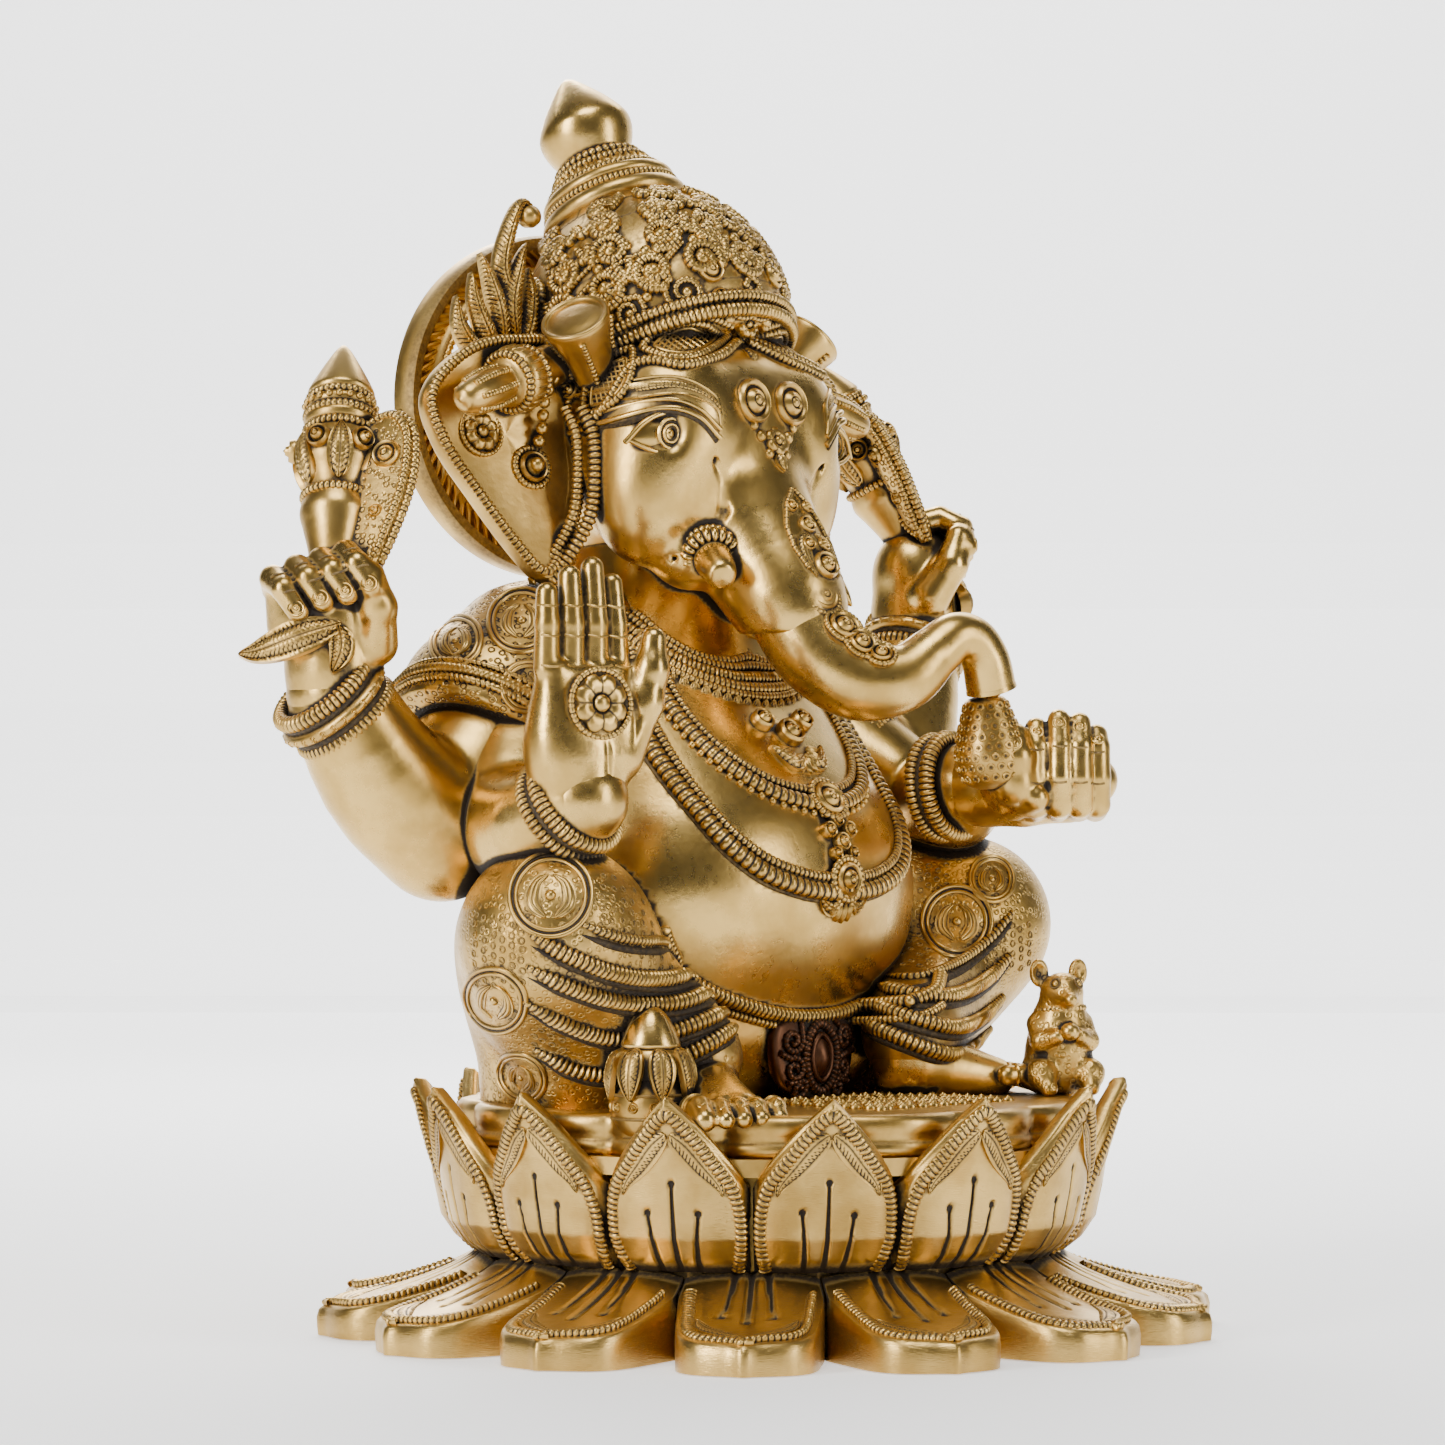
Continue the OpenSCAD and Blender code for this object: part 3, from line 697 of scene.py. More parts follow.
def upper_trim(first, last):
    """Milled cord inside each upright petal's edge and the two hatched leaves below its tip."""
    piece = Piece()
    for k in range(first, last):
        z_up = np.array([25, 31, 38, 44, 49.5])
        s_up = np.array([0.80, 0.855, 0.865, 0.83, 0.74])
        z_over = np.array([55.0, 60.5, 65.5, 68.8])
        s_over = np.array([0.555, 0.375, 0.19, 0.0])
        s = np.concatenate([-s_up, -s_over, s_over[-2::-1], s_up[::-1]])
        z = np.concatenate([z_up, z_over, z_over[-2::-1], z_up[::-1]])
        at = curve(np.stack([s * 22, z], 1), 0.42)
        path = petal_point(at[:, 0] / 22, at[:, 1], k, 0.1)
        out = path * (1, 1, 0)
        rope(piece, path, 2.15, 1.75, 0.34, 10, flat=0.62, slant=0.7, hint=unit(out[0]))
        for side in (-1, 1):
            s = side * np.array([0.03, 0.22, 0.42, 0.60, 0.66])
            z = np.array([63.5, 60.0, 54.5, 49.5, 46.0])
            at = curve(np.stack([s * 22, z], 1), 0.45)
            path = petal_point(at[:, 0] / 22, at[:, 1], k, 0.05)
            leaf(piece, path, path * (1, 1, 0.0), 3.9, 0.75, 1.0, 1.45, 0.62, across=13)
    return piece


LOWER_OUTLINE = curve([[0.0, 132.8], [0.13, 130.6], [0.30, 129.4], [0.50, 127.2], [0.66, 122.5],
                       [0.76, 115.5],
                       [0.855, 105.0], [0.95, 96.0], [0.99, 92.5]], 0.5)


def lower_reach(s):
    """Outline of a splayed petal: how far it reaches at s, 0 on its middle, 1 at the notch."""
    return np.interp(np.abs(s), LOWER_OUTLINE[:, 0], LOWER_OUTLINE[:, 1])


def lower_face(s, r):
    """Height of the top of a splayed petal at radius r."""
    q = np.clip((r - 86) / 47, 0, 1)
    z = 24.3 - 19 * q ** 0.75 + 3.0 * q ** 2.2
    return z - 2.2 * np.abs(s) ** 3 * (1 - 0.4 * q)


def lower_petals(first, last):
    piece = Piece()
    fine = np.linspace(0, 1, 400)
    reach = lower_reach(fine)
    px, py = reach * np.sin(fine * PITCH / 2), reach * np.cos(fine * PITCH / 2)
    run = np.concatenate([[0], np.cumsum(np.hypot(np.diff(px), np.diff(py)))])
    half = np.interp((np.arange(40) + 0.5) / 40 * run[-1], run, fine)
    s = np.concatenate([-half[::-1], half])
    face = 44
    for k in range(first, last):
        mid = -math.pi / 2 + k * PITCH
        rng = np.random.default_rng(80 + k)
        wob = rng.uniform(-0.9, 0.9, 4)
        ang = mid + s * PITCH / 2
        out = lower_reach(s) + wob[0] * (1 - np.abs(s) ** 2)
        v = np.linspace(0, 1, face)[:, None]
        r = 85 + v * (out - 85)
        z = lower_face(s, r)
        x = s * r * PITCH / 2
        cut = scratch_lines(x, r, 86.0, (109 + wob[1], 112.5 + wob[2], 109 + wob[3]), 3.0)
        edge = out - r
        z = z - 0.9 * cut - 0.9 * ease(-edge, -1.4, 0)
        ink = np.maximum(cut, 0.7 * ease(-r, -90, -86.5))
        ink = np.maximum(ink, 0.95 * ease(np.abs(s), 0.93, 0.99) * ease(-r, -112, -104))
        low = np.array([0.7, 0.35, 0.0])[:, None] * z[-1]
        rows_r = np.vstack([r, out + np.array([[0.6], [0.5], [0.2]]) + 0 * low, np.full((2, len(s)), 82.0)])
        rows_z = np.vstack([z, low, np.full((1, len(s)), 0.0), np.full((1, len(s)), 24.0)])
        rows_ink = np.vstack([ink, 0.25 + 0 * low, np.full((2, len(s)), 0.8)])
        verts = np.stack([rows_r * np.cos(ang), rows_r * np.sin(ang), rows_z], axis=-1)
        piece.add(verts, grid_quads(len(rows_r), len(s), flip=True), ink=rows_ink.reshape(-1))
    return piece


def lower_point(s, r, k, up=0.0):
    ang = -math.pi / 2 + k * PITCH + s * PITCH / 2
    return np.stack([r * np.cos(ang), r * np.sin(ang), lower_face(s, r) + up], axis=-1)


def lower_trim(first, last):
    """Milled cord round each splayed petal and the two hatched leaves inside its tip."""
    piece = Piece()
    fine = np.linspace(-1, 1, 500)
    reach = lower_reach(fine)
    flat = np.stack([reach * np.sin(fine * PITCH / 2), reach * np.cos(fine * PITCH / 2)], 1)
    t = unit(np.gradient(flat, axis=0))
    inner = flat + 3.4 * np.stack([t[:, 1], -t[:, 0]], 1)
    keep = (inner[:, 1] > 91) & (np.abs(np.arctan2(inner[:, 0], inner[:, 1])) < PITCH / 2 * 0.9)
    inner = curve(inner[keep][::6], 0.45)
    s = np.arctan2(inner[:, 0], inner[:, 1]) / (PITCH / 2)
    r = np.hypot(inner[:, 0], inner[:, 1])
    for k in range(first, last):
        path = lower_point(s, r, k, 0.1)
        rope(piece, path, 2.1, 1.75, 0.34, 10, flat=0.6, slant=0.7, hint=(0, 0, 1))
        for side in (-1, 1):
            at = curve([[side * 0.5, 124.5], [side * 5.5, 122.0], [side * 11.0, 117.5],
                        [side * 14.0, 110.5]], 0.45)
            path = lower_point(at[:, 0] / (at[:, 1] * PITCH / 2), at[:, 1], k, 0.0)
            leaf(piece, path, (0, 0, 1), 3.7, 0.8, 1.0, 1.5, 0.75, across=13)
    return piece


def pedestal():
    half = PETALS // 2
    for part, first, last in (("front", 0, half), ("back", half, PETALS)):
        build("lotus_lower_" + part, lower_petals(first, last), "lotus_base", ["lotus_lower_petals"],
              look=BRUSHED)
        build("lotus_lower_trim_" + part, lower_trim(first, last), "lotus_base",
              ["lotus_lower_petals"])
        build("lotus_upper_" + part, upper_petals(first, last), "lotus_base", ["lotus_upper_petals"],
              look=BRUSHED)
        build("lotus_upper_trim_" + part, upper_trim(first, last), "lotus_base",
              ["lotus_upper_petals"])


pedestal()

# ------------------------------------------------------------------ shared tools for the figure

RIGHT_OF_VIEW = vec(0.6626, -0.749, 0)
TOWARD_VIEW = vec(-0.749, -0.6626, 0)


def seen(points, tree, lift=0.0, mirror=False):
    """Lays a drawing on the side that faces the viewer.

    Points are [across, height] on an upright plane square to TOWARD_VIEW; each travels back
    onto the surface. mirror carries the result to the other side of the figure.
    """
    out = []
    for u, z in np.asarray(points, float):
        hit, n = land(RIGHT_OF_VIEW * u + TOWARD_VIEW * 260 + vec(0, 0, z), -TOWARD_VIEW, tree)
        out.append(hit + n * lift)
    out = np.array(out)
    return out * (-1, 1, 1) if mirror else out


def plate(piece, outline, normal, thick, dome=0.0, centre=None, rings=9, step=0.8, ink=0.0):
    """Cast leaf of metal: closed outline, domed front, rounded rim, flat back."""
    edge = curve(outline, step, closed=True)
    normal = unit(normal)
    mid = edge.mean(axis=0) if centre is None else vec(centre)
    area = np.cross(edge - mid, np.roll(edge, -1, 0) - mid).sum(axis=0)
    if area @ normal < 0:
        edge = edge[::-1]
    q = np.linspace(0.03, 1, rings)[:, None, None]
    arm = (edge - mid)[None]
    front = mid + arm * q + normal * (thick / 2 + dome * (1 - q ** 2))
    out = unit(arm - (arm @ normal)[..., None] * normal)
    rim = np.concatenate([mid + arm + out * 0.6 + normal * thick * 0.25,
                          mid + arm + out * 0.6 - normal * thick * 0.25])
    back = mid + arm * q[::-1] - normal * thick / 2
    rows = np.concatenate([front, rim, back])
    n = len(edge)
    verts = np.vstack([rows.reshape(-1, 3), front[0].mean(axis=0), back[-1].mean(axis=0)])
    last = (len(rows) - 1) * n
    tris = np.vstack([fan(np.arange(n), len(rows) * n), fan(np.arange(n) + last, len(rows) * n + 1,
                                                            flip=True)])
    piece.add(verts, grid_quads(len(rows), n, wrap=True, flip=True), tris, ink=ink)


def loft(piece, rows, sides=96, square=2.0):
    """Closed skin over level ellipses [z, centre y, half width, half depth]."""
    a = TAU * np.arange(sides) / sides
    c, s = np.cos(a), np.sin(a)
    c = np.sign(c) * np.abs(c) ** (2 / square)
    s = np.sign(s) * np.abs(s) ** (2 / square)
    z, cy, rx, ry = [rows[:, k, None] for k in range(4)]
    ring = np.stack([rx * c, cy + ry * s, z + 0 * c], axis=-1)
    n = len(rows)
    verts = np.vstack([ring.reshape(-1, 3), [[0, rows[0, 1], rows[0, 0]], [0, rows[-1, 1], rows[-1, 0]]]])
    tris = np.vstack([fan(np.arange(sides), n * sides, flip=True),
                      fan(np.arange(sides) + (n - 1) * sides, n * sides + 1)])
    piece.add(verts, grid_quads(n, sides, wrap=True), tris)


def clay_piece(clay, grain=0.0):
    piece = Piece()
    verts, quads = clay.mesh()
    if callable(grain):
        grain = grain(verts)
    piece.add(verts, quads, grain=grain)
    return piece


def spiral(centre, radius, turns, start=0.0, way=1, tail=()):
    """Flat scroll as [across, height] points: an optional tail, then winding inward."""
    a = np.linspace(0, TAU * turns, int(22 * turns))
    r = radius * (1 - a / (TAU * turns)) ** 0.8 + radius * 0.12
    pts = np.stack([centre[0] + r * np.cos(start + way * a), centre[1] + r * np.sin(start + way * a)], 1)
    return np.vstack([tail, pts]) if len(tail) else pts


def flower(piece, centre, normal, r, petals=8, h=1.8, sides=64):
    """Round flower of domed petals about a button."""
    profile = [[r * 0.9, -1.5], [r, h * 0.2], [r * 0.92, h * 0.7], [r * 0.7, h * 1.0], [r * 0.45, h * 0.8],
               [r * 0.3, h * 0.2], [r * 0.26, h * 0.9], [r * 0.15, h * 1.2], [0.05, h * 1.3]]

    def ripple(a, i):
        return 1 - (0.16 if 0 < i < 5 else 0) * np.abs(np.cos(a * petals / 2)) ** 6

    def ink(a, i):
        return (0.9 if i == 5 else 0.0) + (0.9 * np.abs(np.cos(a * petals / 2)) ** 10 if 1 < i < 5 else 0)

    lathe(piece, profile, centre, normal, sides, ripple=ripple, ink=ink)


# ------------------------------------------------------------------ torso, arms, legs

TORSO = [[66, 34, 55, 41], [74, 33, 63, 45], [84, 32, 67, 48], [95, 31, 69, 49], [109, 29, 70, 53],
         [121, 28, 70.5, 56], [134, 28, 69, 57.5], [148, 29, 64, 55], [160, 32, 60, 51],
         [172, 36, 58, 46], [184, 40, 56.5, 40], [196, 43, 52, 35], [206, 44, 43, 31], [214, 43, 34, 28],
         [222, 42, 28, 26], [232, 42, 25, 25], [244, 44, 24, 24]]


def torso_piece():
    piece = Piece()
    loft(piece, curve(TORSO, 1.3), 150, 2.15)
    return piece


def arm(side, shoulder, elbow, wrist, thick, hand_r):
    """Upper arm and forearm pressed together at the elbow, which leaves a crease inside it."""
    pts = np.array([shoulder, elbow, wrist], float)
    clay = Clay(pts.min(axis=0) - thick - 5, pts.max(axis=0) + thick + 5, 1.0)
    upper = curve([shoulder, (vec(shoulder) + elbow) / 2 + vec(side * 3, 0, -1), elbow], 9)
    lower = curve([elbow, (vec(elbow) + wrist) / 2 + vec(side * 3, 0, -3), wrist], 8)
    ru = np.linspace(thick, thick - 2.5, len(upper))
    rl = np.interp(np.linspace(0, 1, len(lower)), [0, 0.35, 1], [thick - 2.5, thick - 3.5, hand_r])
    clay.add_limb(upper, ru, 3)
    other = Clay(pts.min(axis=0) - thick - 5, pts.max(axis=0) + thick + 5, 1.0)
    other.add_limb(lower, rl, 3)
    clay.join(other.d, 2.2)
    return clay_piece(clay)


ARMS = {
    "right_rear": (-1, (-56, 46, 184), (-96, 40, 147), (-130, 49, 186), 22.5, 13.6),
    "left_rear": (1, (56, 46, 184), (98, 42, 160), (126, 50, 205), 22.0, 13.6),
    "right_front": (-1, (-56, 40, 181), (-88, 22, 149), (-92, -12, 156), 19, 13.0),
    "left_front": (1, (56, 40, 181), (88, 18, 153), (66, -22, 160), 19, 12.6),
}


def leg_clay(side):
    ankle = vec(-50, -18, 82) if side < 0 else vec(29, -30, 84)
    hip, knee = vec(side * 49, 35, 99), vec(side * 91, 0, 117)
    x = sorted((side * 128, side * 8 if side < 0 else -2))
    clay = Clay((x[0], -56, 56), (x[1], 82, 152), 1.0)
    thigh = curve([hip, (hip + knee) / 2 + vec(side, 0, 3), knee], 8)
    shin = curve([knee, vec(side * 70, -5, 99), ankle], 7)
    clay.add_limb(thigh, np.linspace(29, 26, len(thigh)), 6)
    clay.add_limb(shin, np.interp(np.linspace(0, 1, len(shin)), [0, 0.5, 1], [24, 17, 12.5]), 6)
    # the cloth hangs from the thigh and the knee down to the deck
    clay.add_limb([(side * 49, 33, 100), (side * 48, 31, 70)], [29, 29], 5)
    clay.add_limb([(side * 79, 9, 104), (side * 65, 9, 76)], [24, 19], 8)
    clay.floor(60, 2)
    return clay


def foot_clay(ankle, toe, out, low, high):
    clay = Clay(low, high, 0.75)
    d = unit(vec(toe[0] - ankle[0], toe[1] - ankle[1], 0))
    s = vec(-d[1], d[0], 0) * out
    heel = vec(ankle[0], ankle[1], toe[2] + 5)
    clay.add_limb([vec(ankle), heel], [11.5, 9.5], 5)
    clay.add_limb([heel, vec(toe) - d * 9 + s * 3], [9.5, 6.0], 5)
    clay.add_limb([heel, vec(toe) - d * 9 - s * 5], [9.5, 6.0], 5)
    for i in range(5):
        across = i * 5.7 - 11.2
        length = 13.5 - abs(i - 1) * 1.6
        root = vec(toe) - d * 9 + s * across
        r = 3.7 if i == 0 else 2.8
        clay.add_limb([root + vec(0, 0, 1), root + d * length * 0.55 + vec(0, 0, 1.4),
                       root + d * length - vec(0, 0, 1.4)],
                      [r + 0.4, r, r * 0.92], 1.0)
    return clay, d, s


def body():
    torso = torso_piece()
    build("torso_skin", torso, "idol", ["torso"], "polished_brass")
    arms = {}
    for name, (side, shoulder, elbow, wrist, thick, hand_r) in ARMS.items():
        arms[name] = arm(side, shoulder, elbow, wrist, thick, hand_r)
        build(name + "_arm_skin", arms[name], "idol", [name + "_arm"], "polished_brass")
    legs = {}
    for side, name in ((-1, "right"), (1, "left")):
        def cloth(v):
            return 0.4 * (np.abs(v[:, 0]) > 40)
        legs[name] = clay_piece(leg_clay(side), cloth)
        build(name + "_leg_cloth", legs[name], "idol", [name + "_leg"])
    return torso, arms, legs


def feet():
    for name, ankle, toe, out, low, high in (
            ("right", (-50, -18, 82), (-72, -53.5, 68.5), 1, (-90, -74, 60), (-34, -2, 98)),
            ("left", (29, -30, 84), (62, -44, 73), -1, (14, -66, 60), (86, -12, 100))):
        clay, d, s = foot_clay(ankle, toe, out, low, high)
        clay.floor(61, 1)
        piece = clay_piece(clay)
        tree = piece.tree()
        for i in range(5):
            across = i * 5.7 - 11.2
            length = 13.5 - abs(i - 1) * 1.6
            root = vec(toe) - d * 9 + s * across
            r = 3.7 if i == 0 else 2.8
            ring = circle(root + d * length * 0.25 + vec(0, 0, 1.2), d, r + 0.25, 0.5)
            rope(piece, ring, 0.5, 0, closed=True, sides=6)
            tip, n = snap([root + d * length * 0.9 + vec(0, 0, 3)], tree, 0.0)
            boss(piece, tip[0] - n[0] * 0.5, n[0], r * 0.55, 0.4, 14)
        build(name + "_foot_skin", piece, "idol", [name + "_foot"], "polished_brass")


TORSO_SKIN, ARM_SKINS, LEG_SKINS = body()
TORSO_TREE = TORSO_SKIN.tree()
LEG_TREES = {k: v.tree() for k, v in LEG_SKINS.items()}
feet()

# ------------------------------------------------------------------ hands

def turned(origin, yaw, pitch=0.0):
    """Maps a hand's own points [thumb-ward, out of the palm, along the fingers] to the figure."""
    a, b = math.radians(yaw), math.radians(pitch)
    x = vec(math.cos(a), math.sin(a), 0)
    y = vec(-math.sin(a), math.cos(a), 0)
    z = vec(0, 0, 1)
    y, z = y * math.cos(b) + z * math.sin(b), z * math.cos(b) - y * math.sin(b)
    return lambda p: vec(origin) + x * p[0] + y * p[1] + z * p[2]


PALM = turned((-92, -10, 155), -16, -4)


def blessing_hand():
    clay = Clay((-124, -42, 150), (-62, 12, 230), 0.7)
    clay.add_limb([PALM((0, 0, 1)), PALM((0, -1, 12))], [13.8, 12], 6)
    clay.add_oval(PALM((-0.5, -1.5, 13)), (14.5, 9.5, 14), 6, -16)
    clay.add_oval(PALM((-1, -3, 22)), (14.5, 8.5, 16), 8, -16)
    clay.add_limb([PALM((-8, -4, 12)), PALM((-10, -6, 36))], [7, 5.2], 5)
    clay.add_limb([PALM((7, -4, 14)), PALM((9, -6, 36))], [8, 5.0], 5)
    clay.add_limb([PALM((-3, -6, 34)), PALM((4, -6, 35))], [5, 5], 4)
    fingers = [(-12.2, 62, 3.5), (-4.4, 67, 3.7), (3.3, 69.5, 3.7), (10.6, 65, 3.5)]
    for x, top, r in fingers:
        lean = -1.5 if x > 9 else 0
        clay.add_limb([PALM((x, -6.2, 37)), PALM((x, -7.4 - lean, 50)),
                       PALM((x * 0.97, -7.2 - lean, top - r))],
                      [r + 0.3, r, r * 0.88], 0.8)
    clay.add_limb([PALM((11, -5, 14)), PALM((17.5, -9, 28)), PALM((19.5, -10.5, 37)),
                   PALM((20.5, -10.5, 45.5))],
                  [7.5, 5.2, 4.5, 3.6], 3)
    # the crease up the palm and the lines under the fingers
    clay.cut_limb([PALM((3, -13.2, 2)), PALM((2, -14.0, 16))], [0.8, 0.4], 0.6)
    clay.cut_limb([PALM((11, -14.5, 12)), PALM((12.5, -13, 24)), PALM((11, -12, 32))], [0.8, 0.9, 0.5], 0.8)
    piece = clay_piece(clay)
    tree = piece.tree()
    for x, top, r in fingers:
        for z in (37.5, 46, 54.5):
            line = [PALM((x + dx, -22, z + 0.06 * dx * dx)) for dx in np.linspace(-r + 0.5, r - 0.5, 7)]
            path = drop(line, PALM((0, 1, 0)) - PALM((0, 0, 0)), tree, -0.1)
            rope(piece, curve(path, 0.5), 0.42, 0, sides=6)
            piece.ink[-1][:] = 0.85
    build("right_front_hand_skin", piece, "idol", ["right_front_hand"], "polished_brass")
    rosette = Piece()
    flower(rosette, PALM((0.5, -13.6, 27)), PALM((0, -1, 0)) - PALM((0, 0, 0)), 8.6, 8, 1.7, 96)
    ring = circle(PALM((0.5, -13.9, 27)), PALM((0, -1, 0)) - PALM((0, 0, 0)), 9.6, 0.4)
    rope(rosette, ring, 0.9, 1.4, 0.3, 8, closed=True)
    build("palm_flower", rosette, "idol", ["palm_rosette"])


def fist(name, side, wrist, top):
    """Closed hand round the foot of an axe, with a leaf-shaped tassel hanging out of it."""
    w, up = vec(wrist), unit(vec(top) - vec(wrist))
    across = unit(vec(-side * 0.6626, -0.749, 0) - up * (vec(-side * 0.6626, -0.749, 0) @ up))
    front = unit(vec(side * 0.749, -0.6626, 0) - up * (vec(side * 0.749, -0.6626, 0) @ up))
    palm = w + up * 25

    def at(a, f, u):
        return palm + across * a + front * f + up * u

    clay = Clay(np.minimum(w, palm) - 34, np.maximum(w, palm) + (34, 34, 30), 0.75)
    clay.add_limb([w - up * 4, w + up * 10, w + up * 20], [13.2, 12.6, 13], 5)
    clay.add_oval(palm + up * 1, (14, 11.5, 13), 6)
    clay.add_limb([at(-11, -1, -3), at(-12, 1, 7)], [7.5, 6.5], 4)
    rows = [(-10.5 + 6.9 * i, 1.8 * i - (i == 0)) for i in range(4)]
    for o, rise in rows:
        clay.add_limb([at(o - 5, -3, 8 + rise), at(o - 5, 6, 11 + rise), at(o - 1.5, 12.5, 8 + rise),
                       at(o + 2.5, 14, 1.5 + rise)],
                      [4.2, 3.9, 3.7, 3.3], 0.5)
    clay.add_limb([at(12, 3, -9), at(14, 9, 1), at(12.5, 11, 10)], [7, 5.2, 4.0], 2)
    piece = clay_piece(clay)
    tree = piece.tree()
    for o, rise in rows:
        tip, n = snap([at(o + 2.0, 19, 2.8 + rise)], tree)
        boss(piece, tip[0] - n[0] * 0.7, n[0], 2.5, 0.6, 18)
        for a, f, u in ((o - 3.4, 12, 12 + rise), (o + 0.5, 16, 7.5 + rise)):
            spot, n = snap([at(a, f, u)], tree)
            fold = [spot[0] + across * dx + up * (0.3 * dx) for dx in np.linspace(-2, 2, 5)]
            rope(piece, curve(snap(fold, tree, -0.05)[0], 0.5), 0.4, 0, sides=6)
            piece.ink[-1][:] = 0.9
    build(name + "_hand_skin", piece, "idol", [name + "_hand"], "polished_brass")
    tassel = Piece()
    for sway, wide in (([at(4, 13, -3), at(-8, 16, -6.5), at(-19, 13, -10), at(-26, 8, -11)], 5.0),
                       ([at(3, 13, -4), at(4, 16, -10), at(1, 15.5, -17)], 3.6)):
        leaf(tassel, sway, front + up * 0.3, wide, 2.4, 2.4, 1.4, 0.8)
    build(name + "_tassel", tassel, "idol", [name + "_hand"])


def cupped_hand():
    """Hand held out with its fingers curled up in front of it, and the thumb by the sweet."""
    clay = Clay((40, -76, 142), (104, -4, 194), 0.7)
    w = vec(66, -20, 160)
    clay.add_limb([w + (0, 6, 0), w + (1, -10, 0), w + (2, -22, -1)], [12.4, 11.8, 11.0], 5)
    clay.add_limb([w + (2, -22, -1), w + (10, -32, -1), w + (15, -38, 1)], [10.5, 9.5, 7.5], 5)
    clay.add_oval(w + (6, -28, 1), (13, 10, 9), 4, -45)
    columns = [(79.5, -8.0, 180), (86.2, -7.0, 182.5), (92.4, -8, 181.5), (97.6, -11, 178)]
    for u, t, top in columns:
        foot = RIGHT_OF_VIEW * u + TOWARD_VIEW * t
        clay.add_limb([foot - TOWARD_VIEW * 8 + vec(0, 0, 152.5), foot + vec(0, 0, 154),
                       foot + TOWARD_VIEW * 2.4 + vec(0, 0, 162),
                       foot + TOWARD_VIEW * 1.8 + vec(0, 0, 171),
                       foot - TOWARD_VIEW * 0.5 + vec(0, 0, top - 3.6)],
                      [3.9, 4.1, 4.1, 3.9, 3.4], 0.4)
    base = RIGHT_OF_VIEW * 73 + TOWARD_VIEW * -4
    clay.add_limb([base - TOWARD_VIEW * 14 + vec(-2, 0, 160), base + vec(0, 0, 160),
                   base + TOWARD_VIEW * 2 + vec(0, 0, 168),
                   base + vec(0, 0, 174)], [8, 6.2, 5.4, 4.2], 2)
    clay.add_limb([base - TOWARD_VIEW * 8 + vec(0, 0, 154),
                   base + RIGHT_OF_VIEW * 6 + TOWARD_VIEW * 1 + vec(0, 0, 156)], [5, 4.2], 1.2)
    piece = clay_piece(clay)
    tree = piece.tree()
    for u, t, top in columns:
        for z in (160 + 0.1 * (top - 178), 170.5 + 0.4 * (top - 181)):
            pts = [(u + dx, z + 0.06 * dx * dx) for dx in np.linspace(-2, 2, 5)]
            rope(piece, curve(seen(pts, tree, -0.05), 0.5), 0.4, 0, sides=6)
            piece.ink[-1][:] = 0.85
        p = seen([(u, top - 4.2)], tree, -0.5)
        boss(piece, p[0], snap(p, tree)[1][0], 2.3, 0.5, 18)
    p = seen([(72.5, 172.5)], tree, -0.5)
    boss(piece, p[0], snap(p, tree)[1][0], 2.7, 0.5, 18)
    build("left_front_hand_skin", piece, "idol", ["left_front_hand"], "polished_brass")


def sweet():
    """Pear-shaped sweet with punched rings in rows."""
    piece = Piece()
    axis = unit(vec(-0.10, 0.05, 1))
    c = vec(47, -46, 172)
    profile = curve([[0.2, -13.5], [5.4, -13], [9.0, -10.5], [10.6, -5.5], [10.4, -1], [8.8, 5], [7.2, 10],
                     [6.2, 12.8], [4.2, 13.9],
                     [0.2, 14]], 0.6)
    lathe(piece, profile, c, axis, 96)
    u, v = frame_of(axis)
    for row, (h, r, lean) in enumerate([(-9.6, 9.5, -0.5), (-6.6, 10.4, -0.2), (-3.6, 10.6, 0),
                                        (-0.6, 10.3, 0.2), (2.4, 9.6, 0.3),
                                        (5.4, 8.7, 0.3), (8.4, 7.7, 0.3), (11.2, 6.8, 0.3)]):
        n = int(TAU * r / 3.0)
        for i in range(n):
            a = TAU * (i + 0.5 * (row % 2)) / n
            d = u * math.cos(a) + v * math.sin(a)
            normal = unit(d + axis * lean)
            rope(piece, circle(c + axis * h + d * r + normal * 0.05, normal, 0.95, 0.5), 0.38, 0,
                 closed=True, sides=6)
            lathe(piece, [[0.6, -0.2], [0.5, 0.12], [0.1, 0.16]], c + axis * h + d * r, normal, 8,
                  ink=lambda a, i: 0.8)
    build("sweet_skin", piece, "idol", ["modak"])


blessing_hand()
fist("right_rear", -1, (-130, 49, 184), (-132, 49, 224))
fist("left_rear", 1, (126, 50, 203), (129, 50, 243))
cupped_hand()
sweet()


def bangle(piece, centre, axis, r, rows):
    for h, thick, kind in rows:
        ring = circle(vec(centre) + unit(axis) * h, axis, r, 0.42)
        if kind == "cord":
            rope(piece, ring, thick, 1.7, 0.34, 10, closed=True)
        elif kind == "dark":
            rope(piece, ring, thick, 0, closed=True, sides=8)
            piece.ink[-1][:] = 1.0
        else:
            rope(piece, ring, thick, 0, closed=True, sides=12, flat=0.7)
            for p in circle(vec(centre) + unit(axis) * h, axis, r + thick - 0.5, 3.6):
                boss(piece, p, p - (vec(centre) + unit(axis) * h), 1.15, 0.45, 10)


